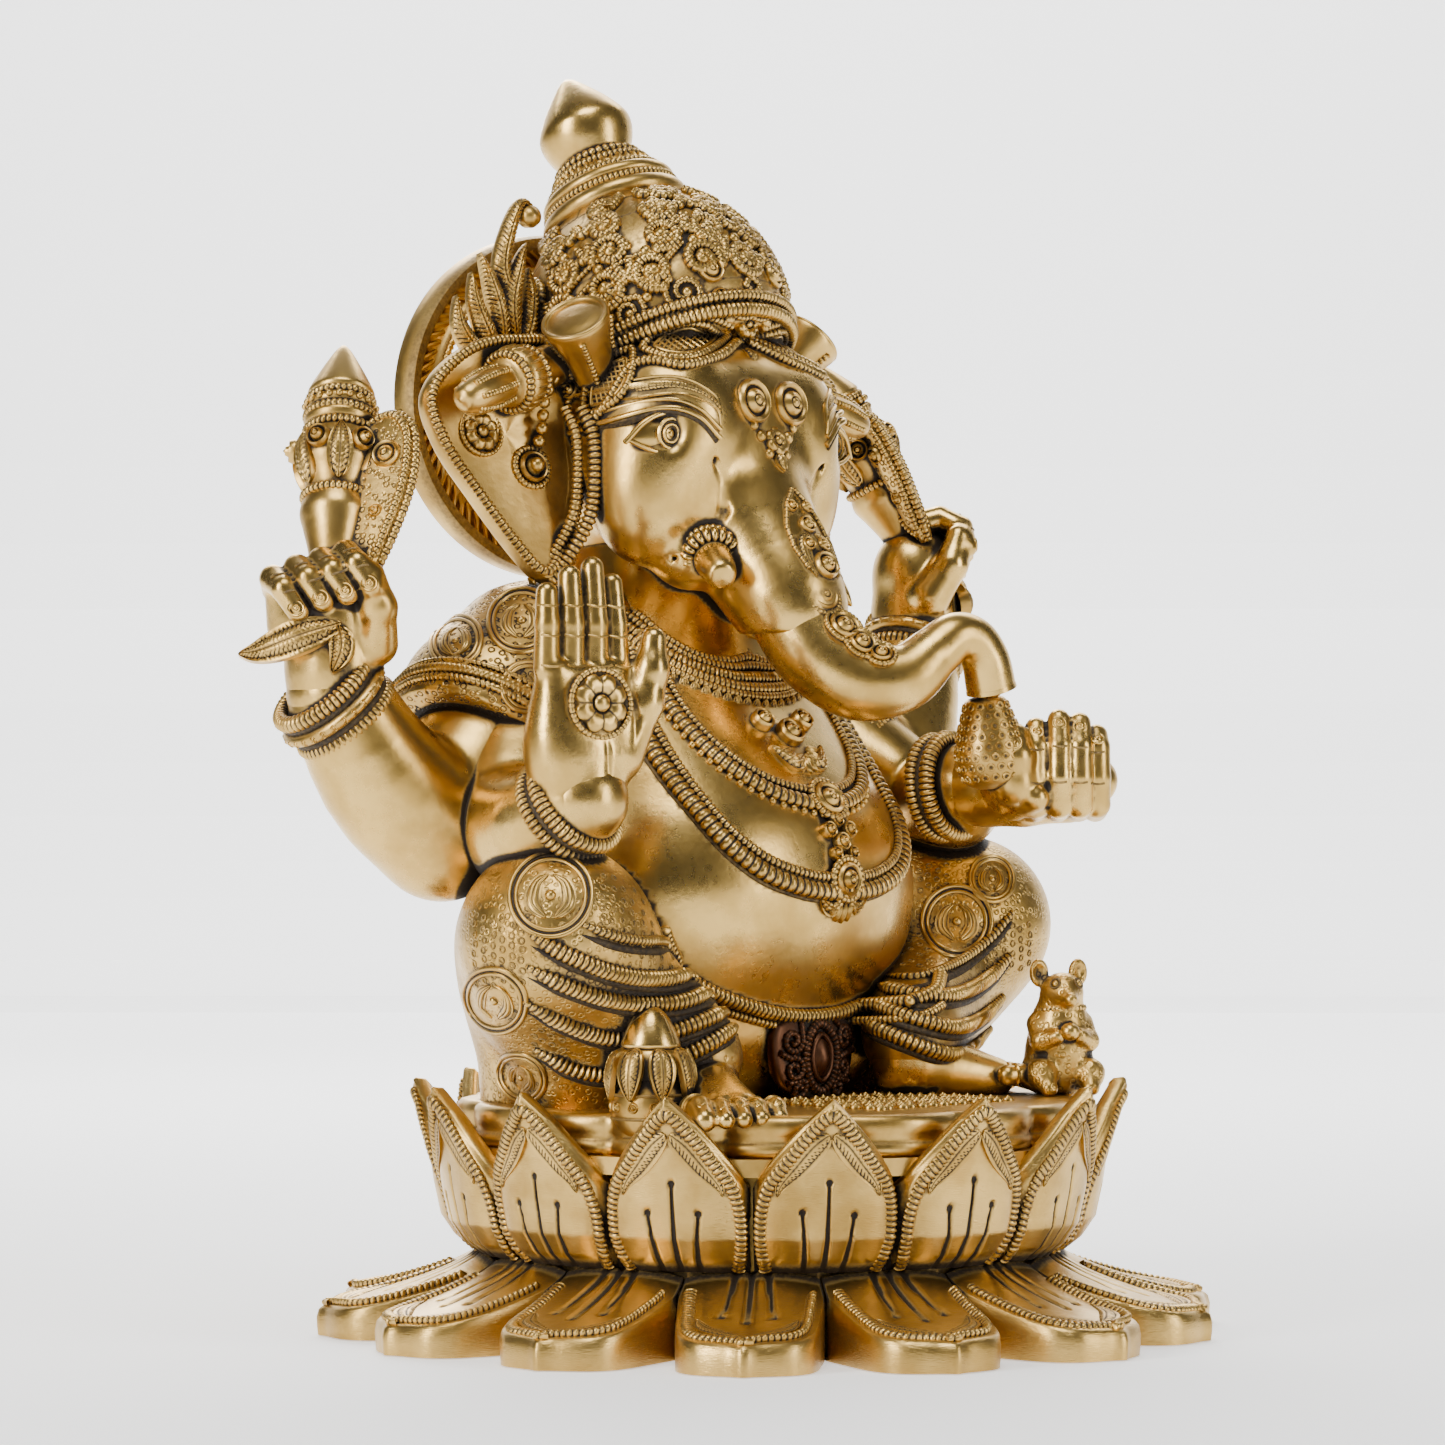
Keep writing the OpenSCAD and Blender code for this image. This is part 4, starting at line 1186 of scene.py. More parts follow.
def bangles():
    rear = [(-5.2, 2.3, "cord"), (-2.6, 1.5, "dark"), (0.2, 3.0, "band"), (3.2, 1.5, "dark"),
            (5.6, 2.5, "cord")]
    front = [(-3.4, 2.4, "cord"), (-0.6, 1.3, "dark"), (2.2, 2.6, "cord")]
    for name, centre, axis, rows in (
            ("right_rear", (-130, 49, 183), (-34, 9, 37), rear),
                                     ("left_rear", (126, 50, 202), (28, 8, 43), rear),
            ("right_front", (-92, -7, 154), (0.05, -0.75, 0.5), front),
            ("left_front", (65, -15, 159), (0.1, -0.95, 0.1), front)):
        piece = Piece()
        bangle(piece, centre, axis, 14.6, rows)
        build(name + "_bangle_rings", piece, "idol", [name + "_bangle"])


bangles()
# ------------------------------------------------------------------ head

def head_piece():
    clay = Clay((-58, -36, 204), (58, 92, 308), 0.85)
    clay.add_oval((0, 46, 266), (44, 42, 42), 4)
    for s in (-1, 1):
        clay.add_oval((s * 20, 22, 265), (24, 25, 27), 9)
    clay.add_limb([(0, 26, 258), (0, 15, 244), (0, 5, 231), (0, -3, 221), (0, -8.5, 213.5),
                   (0.6, -11, 209)],
                  [23, 20.5, 17.6, 15.4, 14.1, 13.6], 9)
    clay.add_oval((0, 14, 270), (17, 14, 17), 9)
    for s in (-1, 1):
        clay.add_oval((s * 29.5, 21, 246), (17, 17, 22), 10)
        clay.add_oval((s * 20, 12, 226), (11, 12, 9), 5)
        # the fold that runs from the eye round the cheek to the tusk
        clay.cut_limb([(s * 25.5, 1.0, 258), (s * 20.5, -1.5, 249), (s * 19.5, 0, 240), (s * 23, 3, 231),
                       (s * 30, 10, 226)],
                      [0.5, 1.0, 1.2, 1.1, 0.6], 1.6)
        # hollow of the eye
        clay.carve(clay.oval((s * 42, -0.8, 262.2), (10.0, 4.2, 6.0), -45 * s), 3.5)
    return clay_piece(clay)


def eye(piece, tree, side):
    """Almond eye with a ringed iris under two lids, and a hatched brow that arches over it."""
    centre, n = snap([(side * 37.5, 4.5, 262.8)], tree)
    centre, n = centre[0], unit(n[0] * (1, 1, 0.3))
    across = unit(np.cross(n, (0, 0, 1))) * side
    if across @ vec(-side, 0, 0) < 0:
        across = -across

    def on(points, lift):
        flat = [centre + (across * min(max(a, -15), 12.5) + vec(0, 0, 1) * b) * 1.2 + n * 14 for a,
                b in points]
        return drop(flat, -n, tree, lift)

    def above(points, lift):
        return np.array([centre + (across * a + vec(0, 0, 1) * b) * 1.2 + n * (lift - a * a / 42) for a,
                         b in points])

    lens = [(-9.2, -2.6), (-5, 1.6), (0, 3.4), (5, 1.4), (9, -2.4), (5, -4.6), (0, -5.3), (-5, -4.6)]
    plate(piece, above(lens, -1.2), n, 1.2, 2.2, above([(0, -0.8)], -1.2)[0], 8, 0.5)
    upper = curve([(-10.8, -3.6), (-6, 1.6), (0, 3.9), (5.5, 1.9), (10.4, -3.2)], 0.5)
    lower = curve([(-9.8, -2.9), (-5, -4.9), (0, -5.7), (5, -5.0), (9.6, -2.8)], 0.5)
    rope(piece, above(upper, 0.3), 0.85, 0, sides=8)
    rope(piece, above(lower, 0.1), 0.75, 0, sides=8)
    for k, (r, thick) in enumerate(((4.3, 0.55), (2.6, 0.45))):
        rope(piece, circle(above([(0.6, -0.9)], 1.45 + 0.2 * k)[0], n, r, 0.4), thick, 0, closed=True,
             sides=6)
    ball(piece, above([(0.6, -0.9)], 1.3)[0], 1.2, n, 0.6, 14)
    for r in (3.5, 2.0):
        rope(piece, circle(above([(0.6, -0.9)], 1.32)[0], n, r, 0.4), 0.42, 0, closed=True, sides=5)
        piece.ink[-1][:] = 1.0
    for shift, thick in ((0, 0.95), (2.1, 0.7)):
        lid = [(-16.5, -5.2 + shift * 0.5), (-9, 1.5 + shift), (-1, 5.2 + shift), (6, 3.6 + shift),
               (12.3, -1.6 + shift)]
        rope(piece, curve(on(lid, 0.15), 0.5), thick, 0, sides=8)
    dark = [(-14, -4.2), (-8, 0.8), (-1, 4.4), (6, 2.6), (11.4, -2.4)]
    rope(piece, curve(on(dark, 0.0), 0.5), 0.85, 0, sides=6)
    piece.ink[-1][:] = 1.0
    brow = [(-19, -4.4), (-13.5, 3.4), (-5.6, 9.3), (3.2, 10.9), (11.1, 7.4), (15.6, 2.6)]
    leaf(piece, curve(on(brow, 0.0), 0.6), n, 1.9, 1.2, 1.0, 1.15, 0.9, rim=False, across=9)
    for shift in (-2.1, 2.0):
        edge = [(a, b + shift * (0.4 + 0.6 * math.cos(a / 14))) for a, b in brow]
        rope(piece, curve(on(edge, 0.1), 0.6), 0.5, 0, sides=6)


def panel(piece, a, b, width, tree, mirror, lift=0.9):
    """Pointed oval seen from the front: two milled outlines and a cross-hatched middle."""
    a, b = vec(a), vec(b)
    d = b - a
    length = np.hypot(*d)
    d = d / length
    side = vec(-d[1], d[0])
    t = np.linspace(0, 1, 15)
    bow = np.sin(math.pi * t) ** 0.8
    outline = np.vstack([a + np.outer(t * length, d) + np.outer(bow * width / 2, side),
                         (a + np.outer(t * length, d) - np.outer(bow * width / 2, side))[::-1][1:-1]])
    edge = seen(outline, tree, lift, mirror)
    rope(piece, curve(edge, 0.45, closed=True), 1.35, 1.5, 0.32, 9, closed=True, slant=0.6)
    middle = (a + b) / 2
    inner = seen(middle + (outline - middle) * 0.72, tree, lift * 0.5, mirror)
    rope(piece, curve(inner, 0.5, closed=True), 0.6, 0, closed=True, sides=7)
    for way in (-1, 1):
        for k in np.arange(-length, length * 2, 1.9):
            line = []
            for x in np.linspace(0, width, 9):
                p = a + d * (k + way * x * 0.9) + side * (x - width / 2)
                s = (p - a) @ d / length
                if 0.03 < s < 0.97 and abs(x - width / 2) < 0.36 * width * math.sin(math.pi * s) ** 0.8:
                    line.append(p)
            if len(line) > 2:
                rope(piece, seen(line, tree, 0.25, mirror), 0.42, 0, sides=5)
    leafy = seen(middle + (outline - middle) * 0.7, tree, 0.02, mirror)
    plate(piece, leafy, unit(leafy.mean(axis=0) - vec(0, 45, 270)), 0.3, 0.25, None, 4, 1.2, ink=0.8)


def scroll(piece, pts, tree, thick, mirror, eye_r=1.6):
    path = curve(seen(pts, tree, 0.5, mirror), 0.45)
    r = thick * np.interp(np.linspace(0, 1, len(path)), [0, 0.1, 0.8, 1], [0.5, 1, 0.9, 0.6])
    rope(piece, path, r, 1.5, 0.32, 9, slant=0.6)
    p, n = snap([path[-1]], tree, 0.2)
    ball(piece, p[0], eye_r, n[0], 0.8, 14)


def studs(piece, spots, tree, mirror):
    for u, z, r in spots:
        p = seen([(u, z)], tree, 0.0, mirror)
        n = snap(p, tree)[1]
        if r > 2.4:
            boss(piece, p[0], n[0], r, 1.0 + 0.12 * r, 22)
        else:
            ball(piece, p[0], r, n[0], 0.8, 12)


def tilted(p):
    """Point of the crown's own frame, which leans back, in the figure's frame."""
    a = math.radians(26)
    x, y, z = p
    return vec(x, 42 + y * math.cos(a) + z * math.sin(a), 292 - y * math.sin(a) + z * math.cos(a))


CROWN_AXIS = tilted((0, 0, 1)) - tilted((0, 0, 0))
CROWN_FOOT = tilted((0, 0, 0))


def crown_piece():
    piece = Piece()
    profile = curve([[33, -11], [37.8, -5], [39.4, 4], [38.6, 14], [36, 23], [31.4, 31.5], [25.8, 38],
                     [19.5, 44]], 0.9)
    lathe(piece, profile, CROWN_FOOT, CROWN_AXIS, 180)
    return piece


def crown():
    dome = crown_piece()
    tree = dome.tree()
    # brick-like cuts over the sides and the back
    verts, _, _ = dome.arrays()
    rel = verts - CROWN_FOOT
    h = rel @ CROWN_AXIS
    ang = np.arctan2(rel @ vec(1, 0, 0), -(rel @ np.cross(vec(1, 0, 0), -CROWN_AXIS)))
    row = np.floor((h + 12) / 4.2)
    brick = np.abs(((ang * 33 / 7.5) + 0.5 * (row % 2)) % 1 - 0.5)
    course = np.abs(((h + 12) / 4.2) % 1 - 0.5)
    cuts = np.maximum(ease(brick, 0.42, 0.5), ease(course, 0.38, 0.5)) * 0.6
    hatch = 0.35 * (0.5 + 0.5 * np.sin(ang * 33 * 2.6 + h * 2.2))
    dome.ink[0] = np.maximum(cuts, hatch)
    build("crown_dome", dome, "idol", ["crown"])

    trim = Piece()
    both = Piece()
    for src in (dome, HEAD_SKIN):
        v, q, t = src.arrays()
        both.add(v, q, t)
    tree2 = both.tree()
    for mirror in (False, True):
        panel(trim, (-36.5, 287.5), (-12.2, 292.5), 11.5, tree2, mirror)
        panel(trim, (-39.5, 287), (-53.0, 268), 11.0, tree2, mirror)
        scroll(trim, spiral((-24.4, 304.7), 5.4, 1.6, 2.4, 1, [(-25.2, 319.5), (-29.5, 315), (-32.6, 310)]),
               tree2, 1.2, mirror=mirror)
        scroll(trim, spiral((-40.6, 298.4), 4.4, 1.4, 1.2, -1, [(-57, 284), (-54, 293), (-48.5, 300)]),
               tree2, 1.2, mirror=mirror)
        scroll(trim, [(-58.5, 287), (-54.5, 298), (-46, 306.5), (-37.8, 311.5), (-35.5, 307.5)], tree2,
               1.25, mirror=mirror)
        scroll(trim, [(-61, 291), (-57, 301), (-49, 309.5), (-39, 315.2), (-33, 316.5)], tree2, 1.2,
               mirror=mirror)
        scroll(trim, [(-62, 297), (-58, 306), (-50, 314), (-42, 318.5)], tree2, 1.1, mirror=mirror,
               eye_r=2.0)
        scroll(trim, spiral((-8.2, 302.5), 4.8, 1.5, 0.6, -1, [(-14, 318), (-9, 313), (-3.2, 308)]), tree2,
               1.15, mirror=mirror)
        studs(trim, [(-16.9, 311.6, 4.3), (-14.2, 303.6, 2.7), (-11.5, 297.4, 2.0), (-21.5, 296.8, 1.8),
                     (-31, 297.5, 1.8),
                     (-31.8, 322, 2.4), (-27.5, 326.5, 2.2), (-20, 321, 2.6), (-14, 320.5, 2.0),
                     (-35.5, 303, 1.7),
                     (-45, 292.4, 1.8), (-57.8, 276, 3.2)], tree2, mirror)
    for row, (height, count, size) in enumerate(((7.5, 16, 5.4), (18.5, 15, 5.0), (28.0, 12, 4.3),
                                                 (36.0, 9, 3.4))):
        for k in range(count):
            a = TAU * (k + 0.5 * (row % 2)) / count
            way = vec(1, 0, 0) * math.sin(a) - np.cross(CROWN_AXIS, (1, 0, 0)) * math.cos(a)
            if math.cos(a) < -0.45:
                continue
            centre = CROWN_FOOT + CROWN_AXIS * height
            hit, n, _, _ = tree.ray_cast(Vector(centre + way * 60), Vector(-way))
            hit, n = np.array(hit), np.array(n)
            su, sv = frame_of(n, CROWN_AXIS)
            turn = 1 if k % 2 else -1
            wind = spiral((0, 0), size, 1.5, 0.8 * k, turn, [(size * 1.9 * turn, size * 1.2),
                                                             (size * 1.5 * turn, size * 0.2)])
            path = [hit + su * x + sv * y for x, y in wind]
            rope(trim, curve(snap(path, tree, 0.7)[0], 0.5), 1.75, 1.6, 0.3, 9, slant=0.6)
            ball(trim, hit + n * 0.5, 2.2, n, 0.8, 14)
            ball(trim, snap([hit + sv * size * 1.3], tree, 0.2)[0][0], 1.9, n, 0.8, 14)
    # milled cord that borders the tiara on the forehead and down to the ears
    brim = [(-52.8, 263.5), (-46.5, 271.5), (-40.5, 281.2), (-34.0, 283.6), (-24, 282.2), (-14.5, 285.6),
            (-9.5, 290.5)]
    top = [(-58.5, 277.5), (-54.5, 286.5), (-45.5, 292.2), (-37.5, 293.8), (-29, 297.6), (-20, 298.4),
           (-11, 296)]
    for mirror in (False, True):
        for line, thick in ((brim, 1.6), (top, 1.5)):
            rope(trim, curve(seen(line, tree2, 0.7, mirror), 0.45), thick, 1.6, 0.32, 10, slant=0.6)
    # drop ornament on the middle line, over the forehead
    mid = [drop([(0, -60, z)], (0, 1, 0), tree2, 0.0)[0] for z in (296, 291.5, 287)]
    flower(trim, mid[0], vec(0, -1, 0.25), 4.2, 8, 1.8, 48)
    boss(trim, mid[1], vec(0, -1, 0.2), 2.8, 1.5, 20)
    leaf(trim, [mid[1] + (0, 0, -1), mid[2], mid[2] + (0, -1, -4.5)], (0, -1, 0.1), 2.6, 1.5, 1.0, 1.3)
    build("crown_trim", trim, "idol", ["crown", "crown_band"])

    band = Piece()
    for r, h, thick in ((38.6, -9, 2.3), (40.2, -5, 1.7)):
        rope(band, circle(CROWN_FOOT + CROWN_AXIS * h, CROWN_AXIS, r - 1.0, 0.45), thick, 1.7, 0.32, 9,
             closed=True)
    build("crown_back_band", band, "idol", ["crown_band"])

    tiers = Piece()
    profile = curve([[18, 40], [21.8, 42], [23.0, 44.4], [22.0, 46.8], [19.4, 48], [19.3, 48.8],
                     [20.8, 50.4],
                     [20.2, 52.6], [17.4, 53.8], [16.4, 54.6], [15.8, 56.8], [13.6, 57.8], [12.8, 59],
                     [11.6, 61.5]], 0.5)
    lathe(tiers, profile, CROWN_FOOT, CROWN_AXIS, 110)
    tiers_at = ((20.1, 48.4, 1.5, 1.6), (17.4, 54.0, 1.4, 1.5), (14.4, 58.2, 1.5, 1.6),
                (12.6, 61.2, 1.4, 2.1))
    for r, h, thick, pitch in tiers_at:
        rope(tiers, circle(CROWN_FOOT + CROWN_AXIS * h, CROWN_AXIS, r, 0.4), thick, pitch, 0.36, 10,
             closed=True)
    for p in circle(CROWN_FOOT + CROWN_AXIS * 55.9, CROWN_AXIS, 16.4, 2.6):
        lean = unit(p - CROWN_FOOT - CROWN_AXIS * 55.9)
        leaf(tiers, [p - CROWN_AXIS * 1.8 + lean * 0.2, p + CROWN_AXIS * 1.8 - lean * 0.4], lean, 0.75, 0.7,
             0.8, 0, rim=False, across=7)
    build("crown_rings", tiers, "idol", ["crown_tiers"])

    finial = Piece()
    tip = (375 - 292) / math.cos(math.radians(26))
    profile = curve([[10.0, 61], [11.2, 63.5], [13.4, 68], [14.4, 72], [14.0, 75.4], [11.0, 80.6],
                     [6.9, 86], [3.2, 90.2],
                     [1.4, tip - 0.8], [0.1, tip]], 0.5)
    lathe(finial, profile, CROWN_FOOT, CROWN_AXIS, 96)
    build("crown_point", finial, "idol", ["crown_finial"], "polished_brass")


def forehead(tree):
    piece = Piece()
    for x in (-8.2, 8.2):
        p, n = snap([(x, -1.0, 272.5)], tree)
        boss(piece, p[0], n[0] + vec(0, -0.3, 0), 6.8, 2.0, 44)
    p = drop([(0, -60, 264.5), (0, -60, 261), (0, -60, 257.5), (0, -60, 252)], (0, 1, 0), tree)
    flower(piece, p[1], (0, -1, 0.35), 4.6, 6, 1.7, 48)
    leaf(piece, [p[2], (p[2] + p[3]) / 2, p[3]], (0, -1, 0.4), 2.6, 1.7, 1.0, 1.2)
    for s in (-1, 1):
        q, n = snap([(s * 6, -3, 262.5), (s * 8.6, -2, 265.5), (s * 3.6, -3, 257)], tree)
        for k, r in enumerate((1.9, 1.6, 1.6)):
            ball(piece, q[k], r, n[k], 0.8, 12)
    build("forehead_trim", piece, "idol", ["forehead_medallion"])


def trunk():
    piece = Piece()
    path = curve([(0.2, -9.6, 212), (1.0, -12.5, 206.5), (3, -18.5, 198.5), (8.5, -29, 190.5),
                  (17, -38.5, 191.5),
                  (25, -43, 198.5), (30.5, -46, 203.2), (36.5, -48, 202.6), (41.2, -49, 197),
                  (44, -49, 188.5)], 0.9)
    at = np.linspace(0, 1, len(path))
    r = np.interp(at, [0, 0.1, 0.27, 0.42, 0.55, 0.66, 0.76, 0.86, 0.94, 1],
                  [13.6, 13.8, 13.2, 11.3, 9.2, 7.7, 6.9, 6.9, 7.3, 7.4])
    k = np.ones(9) / 9
    r = np.convolve(np.pad(r, 4, "edge"), k, "valid")
    rope(piece, path, r, 0, sides=72, hint=(1, 0, 0))
    tip = path[-1] - path[-2]
    lathe(piece, [[7.5, -0.5], [7.6, 0.8], [6.4, 1.2], [5.6, 0.0], [4.0, -3.0]], path[-1], tip, 48,
          ink=lambda a, i: 1.0 if i > 2 else 0.0)
    tree = piece.tree()
    build("trunk_skin", piece, "idol", ["trunk"], "polished_brass")
    trim = Piece()
    for i, q in enumerate((0.09, 0.20, 0.285, 0.345)):
        k = int(q * (len(path) - 1))
        hit, n = snap([path[k] + vec(-0.20, -0.78, 0.62) * (r[k] + 4)], tree)
        size = (4.6, 4.9, 4.3, 3.4)[i]
        boss(trim, hit[0], n[0], size, 1.6, 30)
        rope(trim, circle(hit[0] + n[0] * 0.2, n[0], size + 1.0, 0.4), 0.8, 1.3, 0.3, 7, closed=True)
    build("trunk_discs", trim, "idol", ["trunk"])


def trunk_band():
    piece = Piece()
    axis = vec(-0.02, 0.42, 0.9)
    for h, r, thick in ((-2.8, 14.2, 2.0), (2.2, 14.9, 2.1)):
        rope(piece, circle(vec(0.3, -9.0, 213) + unit(axis) * h, axis, r, 0.42), thick, 1.7, 0.34, 10,
             closed=True)
    rope(piece, circle(vec(0.3, -9.0, 213), axis, 14.2, 0.5), 1.3, 0, closed=True, sides=8)
    piece.ink[-1][:] = 1.0
    build("trunk_band_ropes", piece, "idol", ["trunk_band"])


def trunk_plate(tree):
    """Chased leaf down the front of the trunk's root, with a ringed disc at its foot."""
    piece = Piece()
    z = np.array([246.5, 242, 236, 229, 222])
    half = np.array([0.6, 4.6, 7.4, 8.0, 6.0])
    zz = np.linspace(z[0], z[-1], 24)
    hh = np.interp(-zz, -z, half)
    for s in (-1, 1):
        line = drop(np.stack([s * hh, np.full(24, -70.0), zz], 1), (0, 1, 0), tree, 0.3)
        rope(piece, curve(line[::2], 0.45), 0.85, 1.2, 0.3, 8)
    for k, (zc, r) in enumerate(((241.5, 2.0), (236.2, 3.0), (230.2, 2.3))):
        for s in ((0,) if k == 1 else (-1, 1)):
            p = drop([(s * 3.3, -70, zc)], (0, 1, 0), tree)
            n = snap(p, tree)[1]
            boss(piece, p[0], n[0], r, 1.2, 20)
    p = drop([(0, -70, 224)], (0, 1, 0), tree)
    boss(piece, p[0], snap(p, tree)[1][0], 4.4, 1.8, 32)
    for s in (-1, 1):
        pts = drop([(s * 1.5, -70, 233.5), (s * 4.6, -70, 231), (s * 5.6, -70, 226), (s * 4.6, -70, 220.5)],
                   (0, 1, 0), tree)
        n = snap(pts, tree)[1].mean(axis=0)
        leaf(piece, pts, n, 2.3, 1.1, 0.8, 1.2)
    build("trunk_plate_trim", piece, "idol", ["head"])


def tusks():
    right = Piece()
    base, d = vec(-21, 5, 228.5), unit(vec(-0.45, -0.75, -0.48))
    lathe(right, curve([[5.6, -3], [5.7, 6], [5.2, 12], [4.6, 15.6], [3.4, 17.4], [0.4, 18]], 0.6), base, d,
          48)
    rope(right, circle(base + d * 3.2, d, 6.6, 0.42), 2.6, 2.1, 0.34, 10, closed=True)
    rope(right, circle(base + d * 0.4, d, 7.4, 0.42), 1.5, 1.6, 0.3, 8, closed=True)
    build("right_tusk_stub", right, "idol", ["right_tusk"], "polished_brass")
    left = Piece()
    base, d = vec(21, 5, 228.5), unit(vec(0.16, -0.72, -0.68))
    lathe(left, curve([[5.6, -3], [5.5, 4], [4.4, 12], [2.4, 19], [0.3, 23]], 0.6), base, d, 48)
    rope(left, circle(base + d * 3.0, d, 6.6, 0.42), 2.6, 2.1, 0.34, 10, closed=True)
    build("left_tusk_point", left, "idol", ["left_tusk"], "polished_brass")


def ear(side, name):
    piece = Piece()

    def p(x, y, z):
        return vec(side * x, y, z)

    outline = [p(43, 46, 287), p(58, 48, 291), p(76, 51, 287), p(89, 54, 274), p(86, 52, 259),
               p(77, 46, 243),
               p(67, 39, 227), p(60, 35, 219.5), p(54, 35, 224), p(46, 36, 234), p(42, 38, 252)]
    face = unit(np.cross(p(88, 54, 276) - p(42, 47, 286), p(62, 36, 222) - p(42, 47, 286)))
    if face[1] > 0:
        face = -face
    middle = p(64, 46, 262)
    plate(piece, outline, face, 5.5, -2.0, middle, 24, 0.9)
    tree = piece.tree()
    ringed = curve(outline, 0.45, closed=True)
    inner = middle + (ringed - middle) * 0.955
    rope(piece, inner + face * 2.6, 1.7, 1.6, 0.34, 9, closed=True)

    def on(points, lift=0.0):
        return drop([p(*q) + face * 30 for q in points], -face, tree, lift)

    inner2 = middle + (curve(outline, 0.5, closed=True) - middle) * 0.83
    rope(piece, np.array(inner2) + face * 1.6, 0.55, 0, closed=True, sides=6)
    stud = on([(72, 50, 262)])[0]
    flower(piece, stud, face, 6.0, 8, 2.2, 72)
    rope(piece, circle(stud + face * 0.4, face, 6.9, 0.4), 0.8, 1.3, 0.3, 7, closed=True)
    drop_at = on([(57, 44, 252)])[0]
    boss(piece, drop_at, face, 4.8, 2.6, 30)
    rope(piece, circle(drop_at + face * 0.4, face, 5.9, 0.4), 1.0, 1.4, 0.3, 8, closed=True)
    ball(piece, drop_at + face * 3.2, 2.3, face, 1.0, 16)
    # cord that divides the ear from the face, and its beads
    seam = [p(47, 31, 270), p(46.5, 27, 262), p(47.5, 25.5, 250), p(48, 27, 238), p(53, 31, 226),
            p(58, 34, 219)]
    rope(piece, curve(seam, 0.45), 2.3, 1.9, 0.34, 11)
    rope(piece, curve([q + p(3.6, 3.5, 0) for q in seam], 0.45), 1.7, 1.6, 0.34, 9)
    chain = curve([p(50, 40, 280), p(54, 41, 272), p(55, 41, 264), p(56, 42, 258)], 0.5)
    beads(piece, chain + face * 2.0, 1.9, 3.4, sides=12)
    rope(piece, curve([p(60, 46, 286), p(62, 47, 277), p(63, 47, 270)], 0.5) + face * 2.4, 1.7, 1.6, 0.34,
         9)
    build(name + "_ear_flap", piece, "idol", [name + "_ear"])

    plume = Piece()
    root = p(52, 58, 286)
    feathers = [((0, 0), (-3, 14), (2, 26), (-1, 38), (-6, 46), (-11, 43.5), (-8.5, 39.5)),
                ((2, 0), (4, 12), (8, 22), (12.5, 30)),
                ((4, -2), (10, 6), (15, 15), (17, 24)), ((5, -4), (13, 1), (19.5, 8), (21.5, 17)),
                ((-3, 0), (-8, 9), (-9.5, 18), (-8, 27)), ((-2, 4), (0, 16), (-3.5, 28), (-6, 34))]
    for k, f in enumerate(feathers):
        path = [root + vec(side * a, -1.5 - 0.9 * (k % 3), b) for a, b in f]
        leaf(plume, path, (side * 0.35, -1, 0.15), (3.0 if k == 0 else 3.3), 2.4, 2.4, 1.5, 0.75, rim=False,
             across=13)
    curl = root + vec(side * -8.5, -2.2, 42)
    lathe(plume, [[2.9, -2.4], [3.4, 0], [3.1, 1.8], [1.2, 3.0], [0.1, 3.2]], curl, (side * 0.3, -1, 0.1),
          26)
    rope(plume, circle(curl + vec(0, -1.6, 0), (side * 0.3, -1, 0.1), 1.7, 0.3), 0.45, 0, closed=True,
         sides=6)
    build(name + "_plume_feathers", plume, "idol", [name + "_ear_plume"])

    rod = Piece()
    base, d = p(48, 43, 283), unit(vec(side * 1, -0.1, -0.3))
    lathe(rod, curve([[6.5, -2], [6.6, 9], [6.0, 11], [8.6, 12.6], [9.8, 15.5], [9.6, 19], [7.4, 21.5],
                      [5.4, 22.5], [5.6, 26],
                      [5.9, 32], [5.3, 38], [3.4, 42.5], [0.3, 44]], 0.6), base, d, 56)
    rope(rod, circle(base + d * 20.6, d, 8.3, 0.4), 1.5, 1.7, 0.34, 9, closed=True)
    rope(rod, circle(base + d * 11.4, d, 7.8, 0.4), 1.5, 1.7, 0.34, 9, closed=True)
    u, v = frame_of(d)
    for k in range(7):
        a = TAU * k / 7
        way = u * math.cos(a) + v * math.sin(a)
        rope(rod, curve([base + d * 23.5 + way * 5.4, base + d * 31 + way * 5.9, base + d * 39 + way * 4.8],
                        0.4), 1.15, 1.3, 0.36, 7)
    ring = circle(base + d * 16.8, d, 9.6, 2.5)
    for q in ring:
        leaf(rod, [q - d * 3.0, q + d * 2.4], unit(q - base - d * 16.8), 0.7, 0.6, 0.6, 0, rim=False,
             across=7)
    build(name + "_rod_bud", rod, "idol", [name + "_ear_rod"])

    drum = Piece()
    base, d = p(39, 33, 281), unit(vec(side * 0.62, -0.18, 0.72))
    lathe(drum, curve([[6.6, -3], [6.8, 3], [7.6, 9], [9.2, 15], [10.2, 19], [10.0, 20.4], [9.0, 20.8],
                       [8.4, 20.0], [5, 20.6], [0.2, 21]], 0.5),
          base, d, 64)
    u, v = frame_of(d)
    for k in range(4):
        a = TAU * k / 4 + 0.5
        way = u * math.cos(a) + v * math.sin(a)
        rope(drum, curve([base + d * 1 + way * 6.9, base + d * 9 + way * 7.7, base + d * 17 + way * 9.9],
                         0.4), 1.1, 1.5, 0.34, 7)
    rope(drum, circle(base + d * 20.2, d, 9.7, 0.5), 0.7, 0, closed=True, sides=8)
    build(name + "_drum_cup", drum, "idol", [name + "_ear_drum"])


